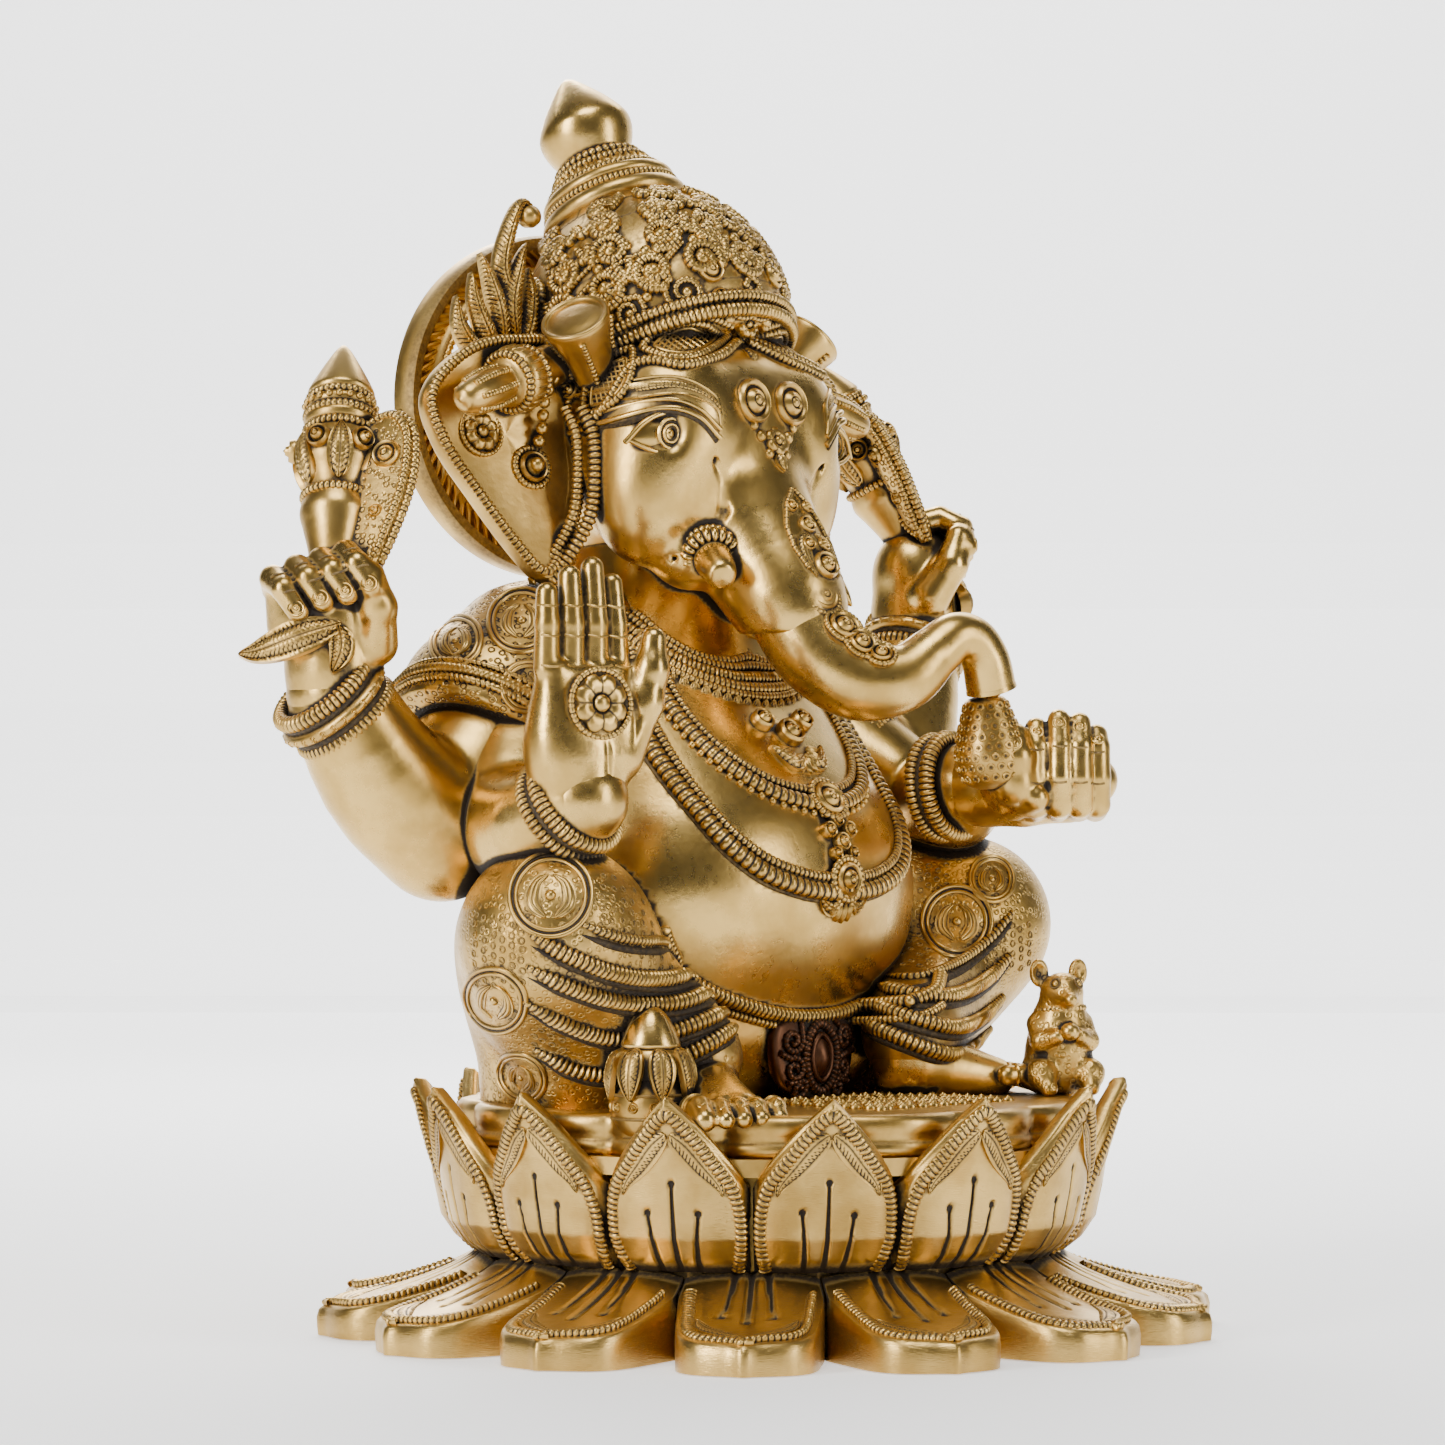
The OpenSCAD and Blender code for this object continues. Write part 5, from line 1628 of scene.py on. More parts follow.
def halo():
    """Standing ring behind the head: smooth rim, sunk band with slanting cuts, cord round the hole."""
    a = np.linspace(0, TAU, 361)[:-1]
    across = [(64, 92, 0), (64.4, 90.5, 0), (64.4, 86, 0), (63.6, 84.2, 0), (61.2, 84, 0),
              (60.4, 84.6, 0.7), (59.6, 86.2, 0.5),
              (57.6, 86.6, 0.2), (55.6, 86.4, 0.2), (54.4, 85.0, 0.6), (53.4, 84, 0), (51.4, 84, 0),
              (51, 85, 0), (51, 91, 0.3), (52, 92, 0.3)]
    piece = Piece()
    rows, marks = [], []
    for r, y, dark in across:
        rows.append(np.stack([r * np.cos(a), np.full(len(a), float(y)), 275 + (r - 12) * np.sin(a)], 1))
        marks.append(np.full(len(a), dark))
    rows.append(rows[0])
    marks.append(marks[0])
    piece.add(np.vstack(rows), grid_quads(len(rows), len(a), wrap=True, flip=True),
              ink=np.concatenate(marks))
    for k in range(84):
        b = TAU * (k + 0.5) / 84
        lean = 0.045
        line = [(r * math.cos(b + lean * j), 86.1 - 0.5 * (j == 1), 275 + (r - 12) * math.sin(b + lean * j))
                for j, r in enumerate((55.4, 57.6, 60.0))]
        rope(piece, curve(line, 0.8), 0.7, 0, sides=6)
    ring = np.stack([52.6 * np.cos(a), np.full(len(a), 83.9), 275 + 40.6 * np.sin(a)], 1)
    rope(piece, curve(ring[::4], 0.5, closed=True), 1.3, 1.7, 0.34, 8, closed=True)
    build("halo_ring", piece, "idol", ["halo"])
    post = Piece()
    for s in (-1, 1):
        path = curve([(0, 86.5, 272.5), (s * 22, 87, 272.5), (s * 50, 87.5, 272.5), (s * 56, 88, 272.5)],
                     0.8)
        rope(post, path, 4.4, 0, sides=24, flat=0.62)
    lathe(post, [[7.5, 0], [7.6, 2], [6.6, 3], [6.6, 24], [7.4, 26], [7.4, 28]], (0, 90, 272.5), (0, -1, 0),
          48)
    boss(post, (0, 89.6, 272.5), (0, 1, 0), 7.6, 1.8, 40)
    build("halo_bracket", post, "idol", ["halo_post"])


HEAD_SKIN = head_piece()
HEAD_TREE = HEAD_SKIN.tree()
build("head_skin", HEAD_SKIN, "idol", ["head"], "polished_brass")
EYES = Piece()
for which in (-1, 1):
    eye(EYES, HEAD_TREE, which)
build("eyes", EYES, "idol", ["head"], "polished_brass")
crown()
forehead(HEAD_TREE)
trunk()
trunk_band()
trunk_plate(HEAD_TREE)
tusks()
ear(-1, "right")
ear(1, "left")
halo()

# ------------------------------------------------------------------ axes in the rear hands

def axe(name, foot, top, side):
    foot, top = vec(foot), vec(top)
    d = unit(top - foot)
    h = np.linalg.norm(top - foot)
    fwd = unit(vec(-side * 0.3, -1, 0) - d * (vec(-side * 0.3, -1, 0) @ d))
    out = unit(np.cross(d, fwd))
    piece = Piece()
    profile = curve([[6.5, -18], [6.5, 0], [7, h * 0.10], [8.8, h * 0.2], [10.2, h * 0.27], [9.4, h * 0.33],
                     [8.6, h * 0.36],
                     [9.8, h * 0.42], [11.8, h * 0.48], [11.8, h * 0.54], [10.4, h * 0.59], [8.8, h * 0.62],
                     [10.0, h * 0.645],
                     [10.4, h * 0.67], [8.9, h * 0.69], [10, h * 0.715], [10, h * 0.735], [8.6, h * 0.755],
                     [9.6, h * 0.78],
                     [9.4, h * 0.80], [6.6, h * 0.875], [3.0, h * 0.96], [1.0, h * 0.995], [0.2, h]], 0.6)
    lathe(piece, profile, foot, d, 64)
    for q, r, t in ((0.62, 9.4, 1.5), (0.685, 9.6, 1.4), (0.757, 9.1, 1.3), (0.34, 9.2, 1.4)):
        rope(piece, circle(foot + d * h * q, d, r, 0.4), t, 1.6, 0.34, 9, closed=True)
    beads(piece, circle(foot + d * h * 0.725, d, 10.2, 0.5), 1.1, 3.0, sides=9)
    # leaf scrolls over the bulb
    for k in range(6):
        a = TAU * k / 6
        way = fwd * math.cos(a) + out * math.sin(a)
        leaf(piece, [foot + d * h * 0.37 + way * 8.9, foot + d * h * 0.47 + way * 11.8,
                     foot + d * h * 0.54 + way * 12.2,
                     foot + d * h * 0.60 + way * 10.8], way, 3.8, 1.7, 1.5, 1.5, 0.8)
        centre = foot + d * h * 0.53 + (fwd * math.cos(a + TAU / 12) + out * math.sin(a + TAU / 12)) * 11.8
        boss(piece, centre, centre - foot - d * h * 0.53, 3.6, 2.4, 22)
    # blade: a flared plate with a stippled face and a beaded edge
    c = foot + d * h * 0.47 + fwd * 9
    shape = [(-4, 0.10), (4, 0.00), (9, 0.14), (13.5, 0.31), (15, 0.46), (14, 0.58), (9, 0.66), (2, 0.64),
             (-3, 0.58), (-5, 0.35)]
    wide = 1.0 if side < 0 else 0.62
    edge = [foot + fwd * (9 + a * wide) + d * h * b for a, b in shape]
    for face in (-1, 1):
        plate(piece, edge, out * face, 4.2, 1.3, c + fwd * 4, 8, 0.8)
        piece.grain[-1][:] = 0.9
        rim = c + fwd * 4 + (curve(edge, 0.45, closed=True) - c - fwd * 4) * 0.9
        rope(piece, rim + out * face * 2.2, 1.15, 1.5, 0.36, 8, closed=True)
        boss(piece, foot + fwd * (9 + 8 * wide) + d * h * 0.47 + out * face * 2.8, out * face,
             3.6 * wide + 0.8, 1.6, 24)
        boss(piece, foot + fwd * (9 + 5 * wide) + d * h * 0.24 + out * face * 2.4, out * face, 2.2, 1.2, 18)
    rope(piece, curve(edge[1:7], 0.5) + fwd * 0.8, 1.5, 1.7, 0.34, 8)
    build(name + "_axe_head", piece, "idol", [name + "_axe"])


axe("right", (-130, 50, 218), (-105, 71, 287), -1)
axe("left", (126, 51, 235), (101, 72, 294), 1)
# ------------------------------------------------------------------ cloth, necklaces, belt

def sleeve(side, name):
    clay = Clay((side * 112 if side < 0 else 22, 8, 148), (-22 if side < 0 else 112, 84, 232), 0.95)
    pts = [(side * 36, 44, 201), (side * 52, 45.5, 193), (side * 68, 46, 180), (side * 80, 46, 168)]
    clay.add_limb(pts, [21, 26, 28, 26], 6)
    hem = unit(vec(side * 0.62, -0.1, -0.78))
    at = vec(side * 76, 40, 170)
    plane = (clay.x - at[0]) * hem[0] + (clay.y - at[1]) * hem[1] + (clay.z - at[2]) * hem[2]
    clay.carve(-plane, 1.5)
    piece = clay_piece(clay, 1.0)
    tree = piece.tree()
    build(name + "_sleeve_cloth", piece, "idol", [name + "_sleeve"])
    trim = Piece()
    mirror = side > 0
    for u, z, r in ((-71.3, 207.5, 9.5), (-90, 201.5, 7.6), (-68.9, 188.0, 7.2), (-52, 216, 6.5)):
        medallion(trim, u, z, r, tree, mirror)
    # hatched border between two lines above the hem
    u, v = frame_of(hem)
    for off, thick, pitch in ((-0.8, 1.3, 1.6), (-6.6, 0.9, 1.4), (-3.7, 1.9, 1.5)):
        ring = [at + hem * off + (u * math.cos(a) + v * math.sin(a)) * 60 for a in np.linspace(0, TAU,
                                                                                               73)[:-1]]
        inward = [at + hem * off + vec(-side * 6, 3, 4) for _ in ring]
        path = []
        for p, c in zip(ring, inward):
            hit, n, _, _ = tree.ray_cast(Vector(p), Vector(unit(c - p)))
            if hit is not None:
                path.append(np.array(hit) + np.array(n) * 0.3)
        if len(path) > 20:
            rope(trim, curve(path, 0.5, closed=True), thick, pitch, 0.36, 8, closed=True, slant=0.5)
    build(name + "_sleeve_trim", trim, "idol", [name + "_sleeve"])


def medallion(piece, u, z, r, tree, mirror=False):
    """Double-line circle with two scroll leaves inside, laid on the cloth."""
    a = np.linspace(0, TAU, 41)[:-1]
    for k, thick in ((1.0, 0.75), (0.84, 0.6)):
        ring = seen(np.stack([u + r * k * np.cos(a), z + r * k * np.sin(a)], 1), tree, 0.15, mirror)
        rope(piece, curve(ring, 0.6, closed=True), thick, 0, closed=True, sides=7)
    dark = seen(np.stack([u + r * 0.92 * np.cos(a), z + r * 0.92 * np.sin(a)], 1), tree, 0.0, mirror)
    rope(piece, curve(dark, 0.7, closed=True), 0.5, 0, closed=True, sides=6)
    piece.ink[-1][:] = 1.0
    for s in (-1, 1):
        pts = seen([(u + s * r * 0.1, z - r * 0.55), (u + s * r * 0.42, z - r * 0.2),
                    (u + s * r * 0.35, z + r * 0.25),
                    (u + s * r * 0.05, z + r * 0.5)], tree, 0.0, mirror)
        n = snap(pts, tree)[1].mean(axis=0)
        leaf(piece, pts, n, r * 0.2, 0.9, 0.8, 0, 0.8)
    p = seen([(u, z)], tree, 0.1, mirror)
    ball(piece, p[0], r * 0.14, snap(p, tree)[1][0], 0.8)


def leg_cloth_trim():
    """Rolled folds with milled edges that run from the knees to the clasp, a painted shadow strip under
    each fold, circles and dots.
    """
    piece = Piece()
    right = [[(-52, 121.5), (-41.5, 117.6), (-31, 116), (-21, 116.5)],
             [(-66, 118.5), (-56, 113), (-41.5, 107.2), (-28, 105.4), (-16.5, 108)],
             [(-67, 109.6), (-56, 104.4), (-41.5, 99.5), (-25.7, 98.6), (-11.5, 102.6)],
             [(-68, 99.8), (-57, 93.6), (-43.9, 89.0), (-28, 90.2), (-9.5, 96.5)],
             [(-66, 86.0), (-56, 80.4), (-45, 78.2), (-30, 81.0), (-16, 87.2), (-8.5, 91.6)]]
    left = [[(35.5, 102.7), (46, 103.1), (58, 107.2), (67, 113.5), (74, 121)],
            [(33, 100.0), (46, 97.6), (58, 98.0), (67, 102.2), (73, 108)],
            [(30.4, 95.2), (43, 91.2), (55, 88.4), (64, 90.2), (71, 95.5)],
            [(27.7, 90.0), (40, 85.2), (52, 80.9), (60, 81.4), (67, 85.5)]]
    for folds, name in ((right, "right"), (left, "left")):
        tree = LEG_TREES[name]
        for k, line in enumerate(folds):
            path = curve(seen(curve(line, 3.0), tree, 0.2), 0.45)
            taper = np.interp(np.linspace(0, 1, len(path)), [0, 0.12, 0.85, 1], [0.35, 1, 1, 0.6])
            big = 2.5 if k else 1.6
            rope(piece, path, big * taper, 1.75, 0.36, 12, slant=0.5)
            # painted shadow: a fully dark strip laid just under each fold, where the fold's shadow falls on
            # the cloth
            painted_fold_shadow = curve(seen([(a, b - 2.9) for a, b in curve(line, 3.0)], tree, -0.35), 0.6)
            rope(piece, painted_fold_shadow, 1.25 * np.interp(np.linspace(0, 1, len(painted_fold_shadow)), [0, 0.15, 0.9, 1],
                                                [0.3, 1, 1, 0.5]), 0, sides=8)
            piece.ink[-1][:] = 1.0
    for u, z, r, name in ((-60.5, 129.5, 11.5, "right"), (-76.8, 99.5, 9.5, "right"),
                          (-70.5, 76.5, 7.5, "right"),
                          (57.0, 118.5, 10.5, "left"), (68.0, 131.0, 6.8, "left")):
        medallion(piece, u, z, r, LEG_TREES[name])
    rng = np.random.default_rng(7)
    for name, u0, u1, z0, z1, slope in (("right", -82, -66, 104, 124, 0.0),
                                        ("right", -46, -26, 120, 136, -0.7),
                                        ("right", -66, -56, 84, 92, 0.0), ("left", 46, 56, 128, 136, 0.0),
                                        ("left", 40, 50, 106, 116, 0.0), ("left", 66, 80, 104, 116, 0.0)):
        tree = LEG_TREES[name]
        for i, u in enumerate(np.arange(u0, u1, 2.7)):
            for z in np.arange(z0 + slope * (u - u0), z1 + slope * (u - u0), 2.9):
                p = seen([(u + rng.uniform(-0.3, 0.3), z + 1.4 * (i % 2) + rng.uniform(-0.3, 0.3))], tree)
                n = snap(p, tree)[1][0]
                rope(piece, circle(p[0], n, 0.85, 0.45), 0.3, 0, closed=True, sides=5)
                piece.ink[-1][:] = 0.7
    build("leg_cloth_trim", piece, "idol", ["right_leg", "left_leg"])


def around(points, tree, lift):
    """A drawing on the front of the torso given as [x, height], carried back along +Y."""
    pts = curve([(x, z) for x, z in points], 2.0)
    hits = drop(np.stack([pts[:, 0], np.full(len(pts), -140.0), pts[:, 1]], 1), (0, 1, 0), tree, lift)
    return curve(hits[hits[:, 1] > -100], 0.45)


def necklaces():
    tree = TORSO_TREE
    long_line = [(-41, 200), (-45, 186), (-45.5, 170), (-43.5, 155), (-39, 143.5), (-30, 135), (-17, 130.4),
                 (-6, 129), (0, 129)]
    short_line = [(-33, 204), (-35.5, 190), (-34.5, 177), (-29.5, 166), (-20, 158.2), (-9, 154.8), (0, 154)]
    collar_line = [(-40, 212), (-36, 202), (-27, 194), (-14, 189.2), (0, 188)]

    def whole(line, inset=0.0):
        pts = vec([list(p) for p in line])
        pts = np.vstack([pts, (pts * (-1, 1))[::-1][1:]])
        c = vec(0, 205)
        d = np.linalg.norm(pts - c, axis=1)[:, None]
        return c + (pts - c) * (d - inset) / d

    piece = Piece()
    for inset, thick, pitch in ((0, 2.9, 2.6), (4.2, 1.5, 1.7)):
        rope(piece, around(whole(long_line, inset), tree, 0.7), thick, pitch, 0.22 if inset == 0 else 0.36,
             12, flat=0.8)
    for inset in (2.7, -3.0):
        rope(piece, around(whole(long_line, inset), tree, -0.2), 0.8, 0, sides=8)
        piece.ink[-1][:] = 0.9
    build("long_necklace_links", piece, "idol", ["long_necklace"])
    piece = Piece()
    for inset, thick, pitch in ((0, 2.5, 2.4), (3.9, 1.4, 1.6)):
        rope(piece, around(whole(short_line, inset), tree, 0.6), thick, pitch, 0.22 if inset == 0 else 0.36,
             12, flat=0.8)
    beads(piece, around(whole(short_line, -2.9), tree, 0.2), 1.15, 3.6, sides=9)
    build("short_necklace_links", piece, "idol", ["short_necklace"])
    piece = Piece()
    for inset, thick, pitch in ((-2.4, 1.3, 1.5), (0, 1.9, 1.8), (3.2, 2.0, 1.5), (6.8, 1.5, 1.6),
                                (9.5, 1.4, 1.6)):
        rope(piece, around(whole(collar_line, inset), tree, 0.5), thick, pitch, 0.36, 10)
    for q in around(whole(collar_line, -4.4), tree, 0.0)[4:-4:8]:
        n = snap([q], tree)[1][0]
        leaf(piece, [q + vec(0, 0, 1.2), q - vec(0, 0, 3.4)], n, 1.5, 1.2, 0.8, 1.1)
    build("collar_bands", piece, "idol", ["collar"])

    piece = Piece()
    spots = [(0, 155, 5.4), (0, 132.4, 5.2), (-4.4, 146.4, 2.6), (4.4, 146.4, 2.6), (0, 149.0, 2.2),
             (0, 143, 2.9),
             (-3.6, 139.8, 2.0), (3.6, 139.8, 2.0), (-8.6, 178, 3.6), (0, 174.5, 4.6), (8.6, 178, 3.6)]
    for x, z, r in spots:
        p = drop([(x, -140, z)], (0, 1, 0), tree)[0]
        n = snap([p], tree)[1][0]
        lathe(piece, [[r * 0.9, -2.5], [r, 0.8], [r * 0.98, 1.6]], p, n, 26)
        boss(piece, p + n * (1.6 if r > 3 else 0.8), n, r, 1.7, 30)
        if r > 5:
            rope(piece, circle(p + n * 1.4, n, r + 0.9, 0.42), 1.2, 1.7, 0.36, 8, closed=True)
    for s in (-1, 1):
        for start, mid, end in (((0, 129), (s * 5, 124.5), (s * 10.5, 127.5)),
                                ((0, 168), (s * 5.5, 166), (s * 11, 171))):
            pts = drop([(x, -140, z) for x, z in (start, mid, end)], (0, 1, 0), tree, 0.3)
            leaf(piece, pts, snap(pts, tree)[1][1], 3.0, 2.2, 1.2, 1.6)
    for k in (-2, -1, 0, 1, 2):
        pts = drop([(k * 2.0, -140, 126.2), (k * 2.5, -140, 119.6 + 0.5 * k * k)], (0, 1, 0), tree, 0.3)
        leaf(piece, pts, snap(pts, tree)[1][0], 1.5, 1.9, 1.0, 0, rim=False, across=9)
    for k in range(-4, 5):
        a = -math.pi / 2 + k * 0.33
        pts = drop([(3.5 * math.cos(a), -140, 171 + 3.5 * math.sin(a)),
                    (9.5 * math.cos(a), -140, 171 + 8.0 * math.sin(a))],
                   (0, 1, 0), tree, 0.3)
        leaf(piece, pts, snap(pts, tree)[1][0], 1.5, 1.4, 0.8, 0, rim=False, across=9)
    build("pendant_bosses", piece, "idol", ["necklace_pendant"])


def belt():
    both = Piece()
    for src in (TORSO_SKIN, LEG_SKINS["right"], LEG_SKINS["left"]):
        v, q, t = src.arrays()
        both.add(v, q, t)
    tree = both.tree()
    piece = Piece()
    line = [(-62, 118), (-52, 108), (-38, 100), (-22, 95.0), (-8, 92.6), (8, 92.6), (22, 95.0), (34, 98.5),
            (42, 102.5)]
    rope(piece, around(line, tree, 0.9), 2.3, 1.8, 0.36, 11, slant=0.5)
    rope(piece, around([(x, z - 3.6) for x, z in line[1:-1]], tree, 0.5), 1.4, 1.6, 0.36, 9)
    build("waist_cord", piece, "idol", ["waist_belt"])

    clasp = Piece()
    front = -17.5
    outline = [(x, front + 0.004 * x * x, z) for x, z in ((-15, 90), (0, 91.5), (15, 90), (17, 82),
                                                          (14, 73), (6, 69), (0, 68.4),
                                                       (-6, 69), (-14, 73), (-17, 82))]
    plate(clasp, outline, (0, -1, 0), 3.5, 1.6, (0, front, 81), 12, 0.8)
    tree = clasp.tree()

    def flat(points, lift):
        return drop([(x, -80, z) for x, z in points], (0, 1, 0), tree, lift)

    oval = [(0, 90), (5.4, 86), (6.6, 79.5), (4.6, 73.5), (0, 70.5), (-4.6, 73.5), (-6.6, 79.5), (-5.4, 86)]
    rope(clasp, curve(flat(oval, 0.6), 0.45, closed=True), 1.6, 1.5, 0.34, 9, closed=True)
    rope(clasp, curve(flat([(x * 0.62, 80 + (z - 80) * 0.68) for x, z in oval], 0.5), 0.45, closed=True),
         1.0, 0, closed=True)
    stone = flat([(0, 80)], 0.2)[0]
    plate(clasp, flat([(x * 0.45, 80 + (z - 80) * 0.5) for x, z in oval], 0.3), (0, -1, 0), 1.5, 1.4, stone,
          7, 0.5)
    for s in (-1, 1):
        for centre, r, turns, start, tail in (((s * 11.2, 85.4), 3.2, 1.4, 0.0, [(s * 7.5, 90.5)]),
                                              ((s * 10.6, 77), 3.2, 1.4, 2.0, [(s * 15.8, 82)]),
                                              ((s * 8.4, 71.4), 2.4, 1.2, 1.0, [(s * 13, 73)])):
            rope(clasp, curve(flat(spiral(centre, r, turns, start, s, tail), 0.5), 0.45), 1.15, 1.4, 0.34,
                 8)
    build("clasp_scrolls", clasp, "idol", ["waist_clasp"], "patina_brass")


def seat():
    """Scalloped slab with a rounded edge: a cushion of sixteen lobes."""
    piece = Piece()
    n = 360
    a = np.linspace(0, TAU, n + 1)[:-1]
    base = 87.5 + 4.2 * np.abs(np.cos(a * 8)) ** 0.8
    rows = [(0.0, 68.0, 0), (40, 68.0, 0), (-5.0, 68.0, 0), (-3.0, 68.0, 0), (-1.4, 67.6, 0),
            (-0.4, 66.6, 0), (0.0, 65.0, 0),
            (-0.2, 62.5, 0), (-1.0, 60.8, 0.4), (-0.6, 60.0, 0.7), (0.0, 58.6, 0.2), (-0.3, 57.2, 0.3),
            (-1.2, 56.0, 0.5), (-30, 56.0, 0.8)]
    pts, marks = [], []
    for off, z, dark in rows:
        r = base + off if off <= 0 and z != 68.0 or -6 < off < 0 else np.full(n, max(off, 1.0))
        pts.append(np.stack([r * np.cos(a), r * np.sin(a), np.full(n, z)], 1))
        notch = 0.35 * (1 - ease(np.abs(np.cos(a * 8)), 0.0, 0.22)) if z < 67 else 0 * a
        marks.append(np.maximum(dark, notch))
    verts = np.vstack(pts + [[[0, 0, 68.0], [0, 0, 56.0]]])
    last = (len(rows) - 1) * n
    tris = np.vstack([fan(np.arange(n), len(rows) * n), fan(np.arange(n) + last, len(rows) * n + 1,
                                                            flip=True)])
    piece.add(verts, grid_quads(len(rows), n, wrap=True, flip=True), tris,
              ink=np.concatenate(marks + [[0, 0]]))
    # chased relief between the feet, in front of the clasp
    rng = np.random.default_rng(3)
    for x in np.arange(-26, 30, 4.6):
        for y in np.arange(-66, -24, 4.6):
            boss(piece, (x + rng.uniform(-1, 1), y + rng.uniform(-1, 1), 68), (0, 0, 1), 1.9, 1.0, 12)
    build("seat_cushion", piece, "idol", ["seat_slab"])


def mouse():
    c, s = math.cos(math.radians(-35)), math.sin(math.radians(-35))

    def at(x, y, z):
        return vec(66 + c * x - s * y, -57 + s * x + c * y, 68 + z)

    clay = Clay(at(0, 0, 0) + vec(-20, -22, -2), at(0, 0, 0) + vec(20, 18, 44), 0.6)
    clay.add_limb([at(0, 1, 7), at(0, 0, 14), at(0, -1, 22), at(0, -2, 28)], [8.8, 9.0, 7.4, 5.6], 4)
    clay.add_oval(at(0, 2, 7), (9.6, 9.6, 7.4), 4)
    clay.add_oval(at(0, -3.5, 31), (5.8, 6.2, 5.2), 3)
    clay.add_limb([at(0, -6, 30.5), at(0, -12.4, 28.4)], [4.2, 2.0], 2.5)
    for side in (-1, 1):
        clay.add_limb([at(side * 7, -1, 21), at(side * 7.5, -6, 16), at(side * 3.6, -10.5, 17.6)],
                      [3.2, 2.8, 2.2], 1.5)
        clay.add_limb([at(side * 7.2, 0, 6), at(side * 7.4, -7, 6.4), at(side * 6.4, -11.5, 2.4)],
                      [5.0, 4.2, 2.6], 1.8)
        clay.add_oval(at(side * 6.0, 0.5, 36), (3.6, 2.2, 4.2), 1.2)
        clay.carve(clay.oval(at(side * 6.4, -1.6, 36.2), (2.0, 1.6, 2.6)), 1.0)
    clay.add_limb([at(2, 9.5, 4), at(9, 11, 3), at(12, 6, 3)], [2.2, 1.8, 1.2], 1.5)
    clay.floor(68, 0.8)
    piece = clay_piece(clay, 0.35)
    tree = piece.tree()
    for side in (-1, 1):
        p, n = snap([at(side * 3.4, -8, 33)], tree)
        ball(piece, p[0], 1.1, n[0], 0.7, 12)
        rope(piece, circle(p[0], n[0], 1.5, 0.4), 0.4, 0, closed=True, sides=6)
        piece.ink[-1][:] = 0.9
    rope(piece, circle(at(0, -1.2, 25.2), (0, 0.1, 1), 6.9, 0.42), 1.1, 1.4, 0.34, 8, closed=True)
    ball(piece, at(0, -11.5, 19), 3.0, (0, 0, 1), 0.9, 18)
    build("mouse_skin", piece, "idol", ["mouse"])


def pot():
    x, y, z = -78, -25, 57
    piece = Piece()
    lathe(piece, curve([[6.8, 0], [7.6, 1.6], [7.0, 3], [9.6, 6.5], [11.1, 11], [11.0, 15], [9.4, 19],
                        [8.0, 21.4]], 0.5), (x, y, z),
          (0, 0, 1), 72)
    for h, r in ((4.2, 8.2), (9.5, 11.0), (16.2, 10.8)):
        rope(piece, circle((x, y, z + h), (0, 0, 1), r, 0.5), 0.5, 0, closed=True, sides=6)
        piece.ink[-1][:] = 0.8
    for k in range(11):
        a = TAU * k / 11
        d = vec(math.cos(a), math.sin(a), 0)
        boss(piece, vec(x, y, z + 12.8) + d * 11.0, d, 1.7, 0.6, 14)
    build("pot_bowl", piece, "idol", ["offering_pot"])
    piece = Piece()
    lathe(piece, curve([[8.0, 19], [9.4, 21.5], [10.2, 25], [8.6, 28.6], [7.2, 29]], 0.6), (x, y, z),
          (0, 0, 1), 48)
    for k in range(8):
        a = TAU * (k + 0.3) / 8
        d = vec(math.cos(a), math.sin(a), 0)
        c = vec(x, y, z)
        leaf(piece, [c + d * 7.6 + (0, 0, 29.5), c + d * 10.6 + (0, 0, 27), c + d * 12.2 + (0, 0, 21),
                     c + d * 12.0 + (0, 0, 14.6)],
             d + vec(0, 0, 0.25), 3.9, 1.3, 1.2, 1.35, 0.85, across=15)
    build("pot_leaf_ring", piece, "idol", ["pot_leaves"])
    piece = Piece()
    lathe(piece, curve([[7.2, 28.2], [8.4, 29.6], [8.3, 31], [6.9, 34.5], [4.9, 38], [2.6, 40.2],
                        [0.3, 41]], 0.5), (x, y, z), (0, 0, 1), 64)
    for k in range(3):
        a = TAU * k / 3 + 0.6
        d = vec(math.cos(a), math.sin(a), 0)
        c = vec(x, y, z)
        rope(piece, curve([c + d * 8.2 + (0, 0, 30.6), c + d * 6.8 + (0, 0, 34.6),
                           c + d * 4.8 + (0, 0, 38)], 0.5), 0.35, 0, sides=6)
        piece.ink[-1][:] = 0.8
    build("pot_coconut_cone", piece, "idol", ["pot_coconut"], "polished_brass")


sleeve(-1, "right")
sleeve(1, "left")
leg_cloth_trim()
necklaces()
belt()
seat()
mouse()
pot()

for obj in list(bpy.data.objects):
    if obj.name == "lotus_deck" and obj.type == "MESH":
        obj.data.materials.clear()
        obj.data.materials.append(CHASED)


# ------------------------------------------------------------------ patina in the recesses

def near_share(points, grid, low, cell):
    """Reads a grid of values at points, in mm, with straight-line mixing."""
    q = (points - low) / cell - 0.5
    i = np.clip(np.floor(q).astype(int), 0, np.array(grid.shape) - 2)
    f = np.clip(q - i, 0, 1)
    out = np.zeros(len(points))
    for c in CORNERS:
        w = np.prod(np.where(c, f, 1 - f), axis=1)
        out += w * grid[i[:, 0] + c[0], i[:, 1] + c[1], i[:, 2] + c[2]]
    return out


def blur(grid, sigma):
    radius = int(2.5 * sigma)
    k = np.exp(-0.5 * (np.arange(-radius, radius + 1) / sigma) ** 2)
    k /= k.sum()
    for axis in range(3):
        out = np.zeros_like(grid)
        for i, w in zip(range(-radius, radius + 1), k):
            src = [slice(None)] * 3
            dst = [slice(None)] * 3
            n = grid.shape[axis]
            src[axis] = slice(max(0, i), n + min(0, i))
            dst[axis] = slice(max(0, -i), n + min(0, -i))
            out[tuple(dst)] += np.float32(w) * grid[tuple(src)]
        grid = out
    return grid


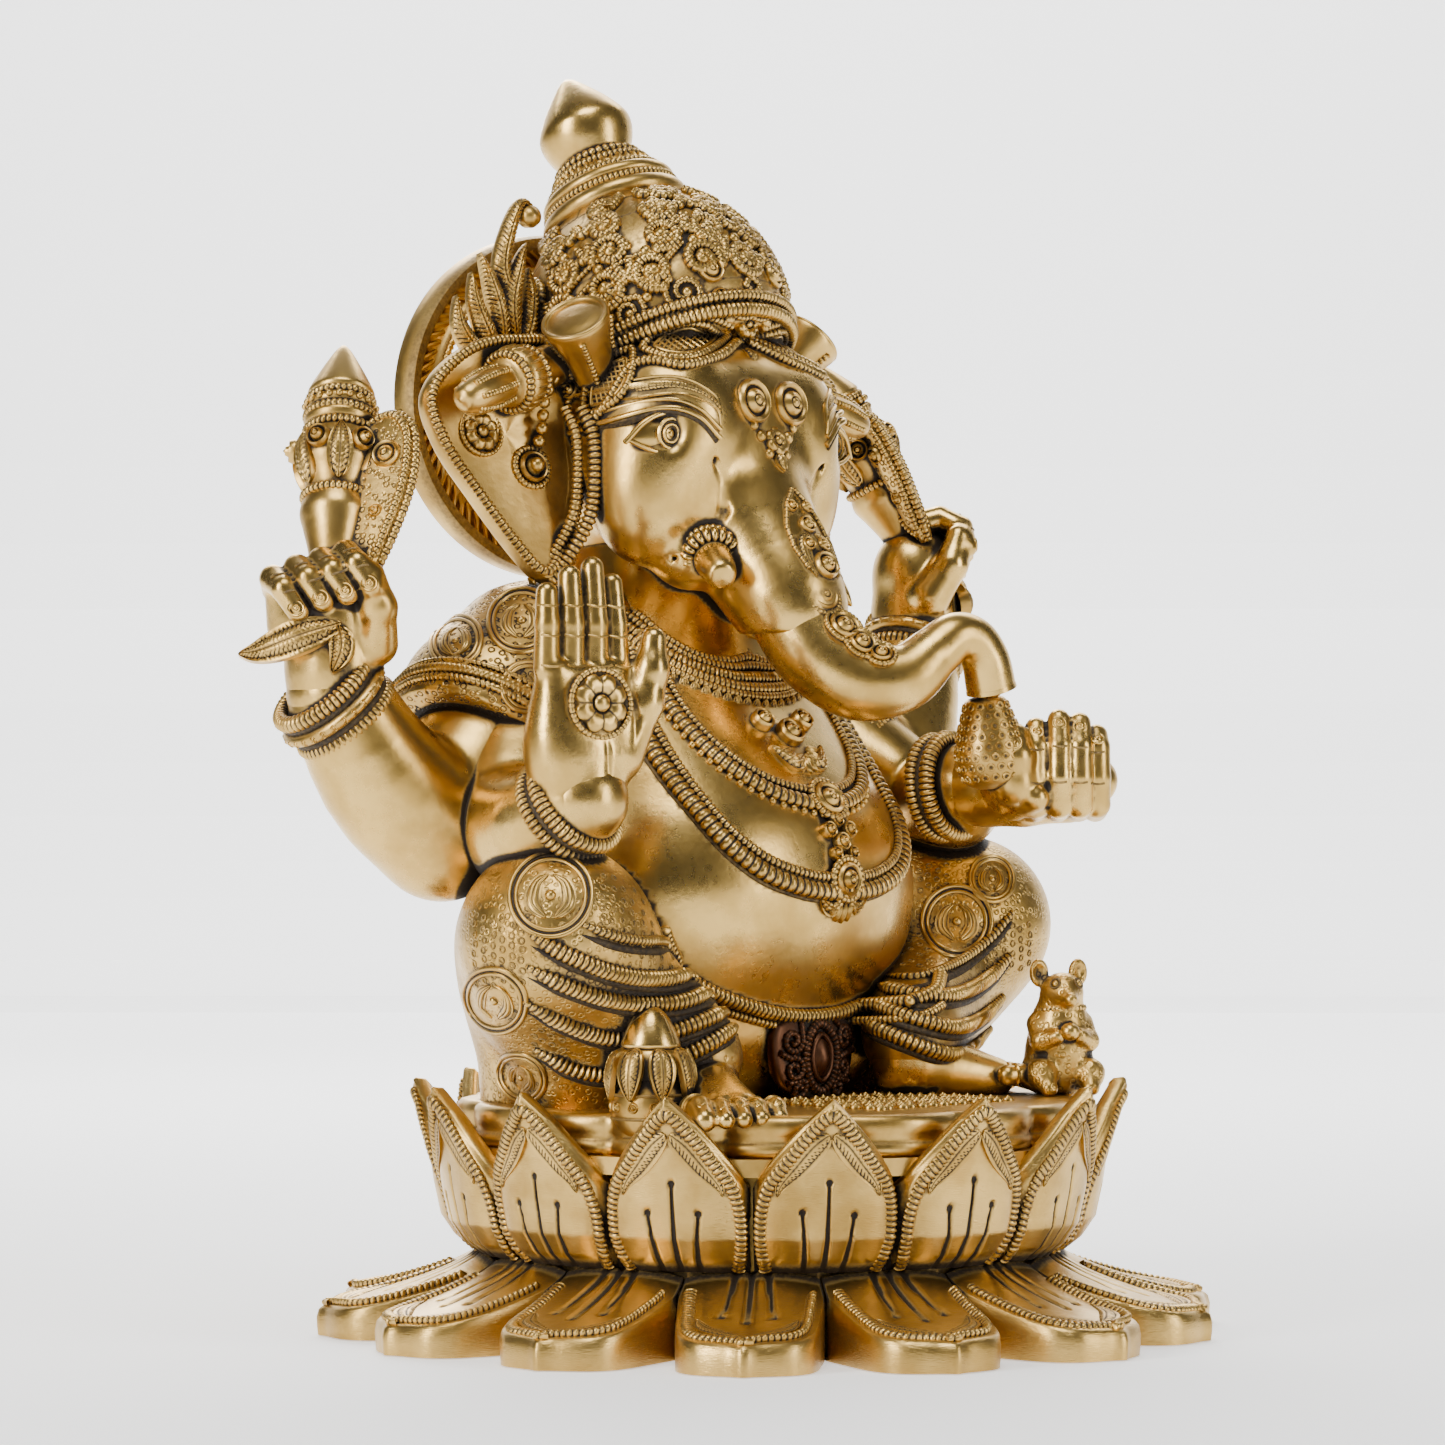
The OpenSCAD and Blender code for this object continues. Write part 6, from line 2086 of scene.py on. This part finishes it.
def surface(obj):
    """Vertices and normals in mm, and points spread over the faces with their areas."""
    mesh = obj.data
    n = len(mesh.vertices)
    co = np.empty(n * 3, np.float32)
    mesh.vertices.foreach_get("co", co)
    co = co.reshape(-1, 3) / MM
    no = np.empty(n * 3, np.float32)
    mesh.vertices.foreach_get("normal", no)
    edges = np.empty(len(mesh.edges) * 2, np.int32)
    mesh.edges.foreach_get("vertices", edges)
    area = np.empty(len(mesh.polygons), np.float32)
    mesh.polygons.foreach_get("area", area)
    centre = np.empty(len(mesh.polygons) * 3, np.float32)
    mesh.polygons.foreach_get("center", centre)
    return co, no.reshape(-1, 3), edges.reshape(-1, 2), area / MM ** 2, centre.reshape(-1, 3) / MM


def hollows(co, no, edges):
    """How far each vertex lies below its neighbours, over their distance: above 0 in a groove."""
    a, b = edges[:, 0], edges[:, 1]
    n = len(co)
    count = np.bincount(a, minlength=n) + np.bincount(b, minlength=n)
    length = np.linalg.norm(co[a] - co[b], axis=1)
    span = (np.bincount(a, length, n) + np.bincount(b, length, n)) / np.maximum(count, 1)
    rise = np.zeros(n)
    for k in range(3):
        total = np.bincount(a, co[b, k], n) + np.bincount(b, co[a, k], n)
        rise += (total / np.maximum(count, 1) - co[:, k]) * no[:, k]
    value = rise / np.maximum(span, 1e-6)
    for _ in range(2):
        total = np.bincount(a, value[b], n) + np.bincount(b, value[a], n)
        value = 0.5 * value + 0.5 * total / np.maximum(count, 1)
    return value


ORNAMENT = ("trim", "links", "bands", "bosses", "rings", "cord", "scrolls", "discs", "ropes", "eyes",
            "flower", "tassel")


SOFTER = {"halo_ring": 0.5, "seat_cushion": 0.6, "right_front_hand_skin": 0.7, "right_leg_cloth": 0.85,
          "left_leg_cloth": 0.85}


def weather():
    """Darkens grooves, gaps between castings and the foot of every ornament."""
    low = vec(-156, -140, -4)
    size = (312, 280, 386)
    wall = np.zeros(size, bool)
    sheets = {True: [], False: []}
    cache = {}
    for obj in MADE:
        co, no, edges, area, centre = surface(obj)
        cache[obj.name] = (co, no, edges)
        small = any(word in obj.name for word in ORNAMENT)
        mids = 0.5 * (co[edges[:, 0]] + co[edges[:, 1]])
        for pts in (co, centre, mids):
            i = np.clip((pts - low).astype(int), 0, np.array(size) - 1)
            wall[i[:, 0], i[:, 1], i[:, 2]] = True
        i = np.clip((centre - low).astype(int), 0, np.array(size) - 1)
        sheets[small].append((np.ravel_multi_index(i.T, size), area))
    air = np.zeros(size, bool)
    for axis in range(3):
        for end in (0, -1):
            edge = [slice(None)] * 3
            edge[axis] = end
            air[tuple(edge)] = True
    air &= ~wall
    for _ in range(6):
        for axis in range(3):
            a, w = np.moveaxis(air, axis, 0), np.moveaxis(wall, axis, 0)
            for i in range(1, len(a)):
                a[i] |= a[i - 1] & ~w[i]
            for i in range(len(a) - 2, -1, -1):
                a[i] |= a[i + 1] & ~w[i]
    solid = (~air).astype(np.float32)
    solid[:, :, :4] = 0
    close = blur(solid, 1.6)
    half = solid.reshape(size[0] // 2, 2, size[1] // 2, 2, size[2] // 2, 2).mean(axis=(1, 3, 5))
    wide = blur(half, 2.25)
    fine = {}
    for small, parts in sheets.items():
        flat = np.bincount(np.concatenate([p[0] for p in parts]), np.concatenate([p[1] for p in parts]),
                           np.prod(size))
        fine[small] = blur(flat.reshape(size).astype(np.float32), 0.8)
    for obj in MADE:
        co, no, edges = cache[obj.name]
        small = any(word in obj.name for word in ORNAMENT)
        gap = ease(near_share(co + no * 1.6, close, low, 1.0), 0.30, 0.68)
        deep = ease(near_share(co + no * 3.0, wide, low, 2.0), 0.50, 0.86)
        groove = hollows(co, no, edges)
        foot = near_share(co + no * (0.0 if small else 0.4), fine[not small], low, 1.0)
        foot = ease(foot, 0.22, 0.75) * (0.75 if small else 0.6)
        ink = np.empty(len(co), np.float32)
        obj.data.attributes["wear"].data.foreach_get("value", ink)
        dark = np.maximum(ink, 0.95 * ease(groove, 0.03, 0.22))
        dark = np.maximum(dark, 0.9 * gap)
        dark = 1 - (1 - np.clip(dark, 0, 1)) * (1 - 0.75 * foot) * (1 - 0.8 * deep)
        dark = (dark - 0.35 * ease(-groove, 0.04, 0.25)) * SOFTER.get(obj.name, 1.0)
        obj.data.attributes["wear"].data.foreach_set("value", dark.astype(np.float32))


weather()

# ------------------------------------------------------------------ studio

def plain(name, colour, rough):
    mat = bpy.data.materials.new(name)
    mat.use_nodes = True
    shader = mat.node_tree.nodes["Principled BSDF"]
    shader.inputs["Base Color"].default_value = (*colour, 1)
    shader.inputs["Roughness"].default_value = rough
    return mat


def studio():
    """Pale floor that sweeps up into a backdrop behind the figure."""
    profile = [(2600, 0), (-1500, 0), (-1900, 40), (-2200, 200), (-2400, 600), (-2450, 2600)]
    p = curve([(a, b, 0) for a, b in profile], 60)
    verts = []
    for along, up, _ in p:
        for side in (-3200, 3200):
            verts.append(TOWARD_VIEW * along + RIGHT_OF_VIEW * side + vec(0, 0, max(up, 0) - 0.3))
    sweep = Piece()
    sweep.add(np.array(verts), grid_quads(len(p), 2))
    v, q, _ = sweep.arrays()
    mesh = bpy.data.meshes.new("sweep")
    mesh.from_pydata((v * MM).tolist(), [], q.tolist())
    obj = bpy.data.objects.new("sweep", mesh)
    paper = plain("white_paper", (0.95, 0.95, 0.95), 0.9)
    glow = paper.node_tree.nodes["Principled BSDF"]
    glow.inputs["Emission Color"].default_value = (1, 1, 1, 1)
    glow.inputs["Emission Strength"].default_value = 0.6
    mesh.materials.append(paper)
    bpy.context.scene.collection.objects.link(obj)


def soft_light(name, place, target, size, power, colour=(1, 1, 1)):
    data = bpy.data.lights.new(name, "AREA")
    data.shape = "RECTANGLE"
    data.size, data.size_y = size[0] * MM, size[1] * MM
    data.energy = power
    data.color = colour
    obj = bpy.data.objects.new(name, data)
    obj.location = Vector(place) * MM
    obj.rotation_euler = (Vector(target) - Vector(place)).to_track_quat("-Z", "Y").to_euler()
    bpy.context.scene.collection.objects.link(obj)


def camera():
    data = bpy.data.cameras.new("camera")
    data.lens = 135.1
    data.sensor_width = 36
    obj = bpy.data.objects.new("camera", data)
    place = Vector(TOWARD_VIEW * 1600 + vec(0, 0, 166))
    aim = Vector((-8.9, 10.0, 178.2))
    obj.location = place * MM
    obj.rotation_euler = (aim - place).to_track_quat("-Z", "Y").to_euler()
    bpy.context.scene.collection.objects.link(obj)
    bpy.context.scene.camera = obj


def lights():
    world = bpy.data.worlds.new("world")
    bpy.context.scene.world = world
    world.use_nodes = True
    world.node_tree.nodes["Background"].inputs["Color"].default_value = (0.95, 0.97, 1.0, 1)
    world.node_tree.nodes["Background"].inputs["Strength"].default_value = 0.08
    soft_light("key", (-1500, 150, 700), (0, 0, 190), (420, 1000), 21, (1, 0.98, 0.95))
    soft_light("fill", (350, -1500, 500), (0, 0, 170), (420, 1000), 10, (1, 0.98, 0.95))
    soft_light("top", (-450, -350, 1500), (0, 0, 200), (700, 700), 13)
    soft_light("rim", (700, 900, 900), (0, 0, 240), (400, 900), 8)
    soft_light("paper", (1100, 1000, 1500), (1500, 1350, 300), (1800, 1800), 60)


studio()
camera()
lights()
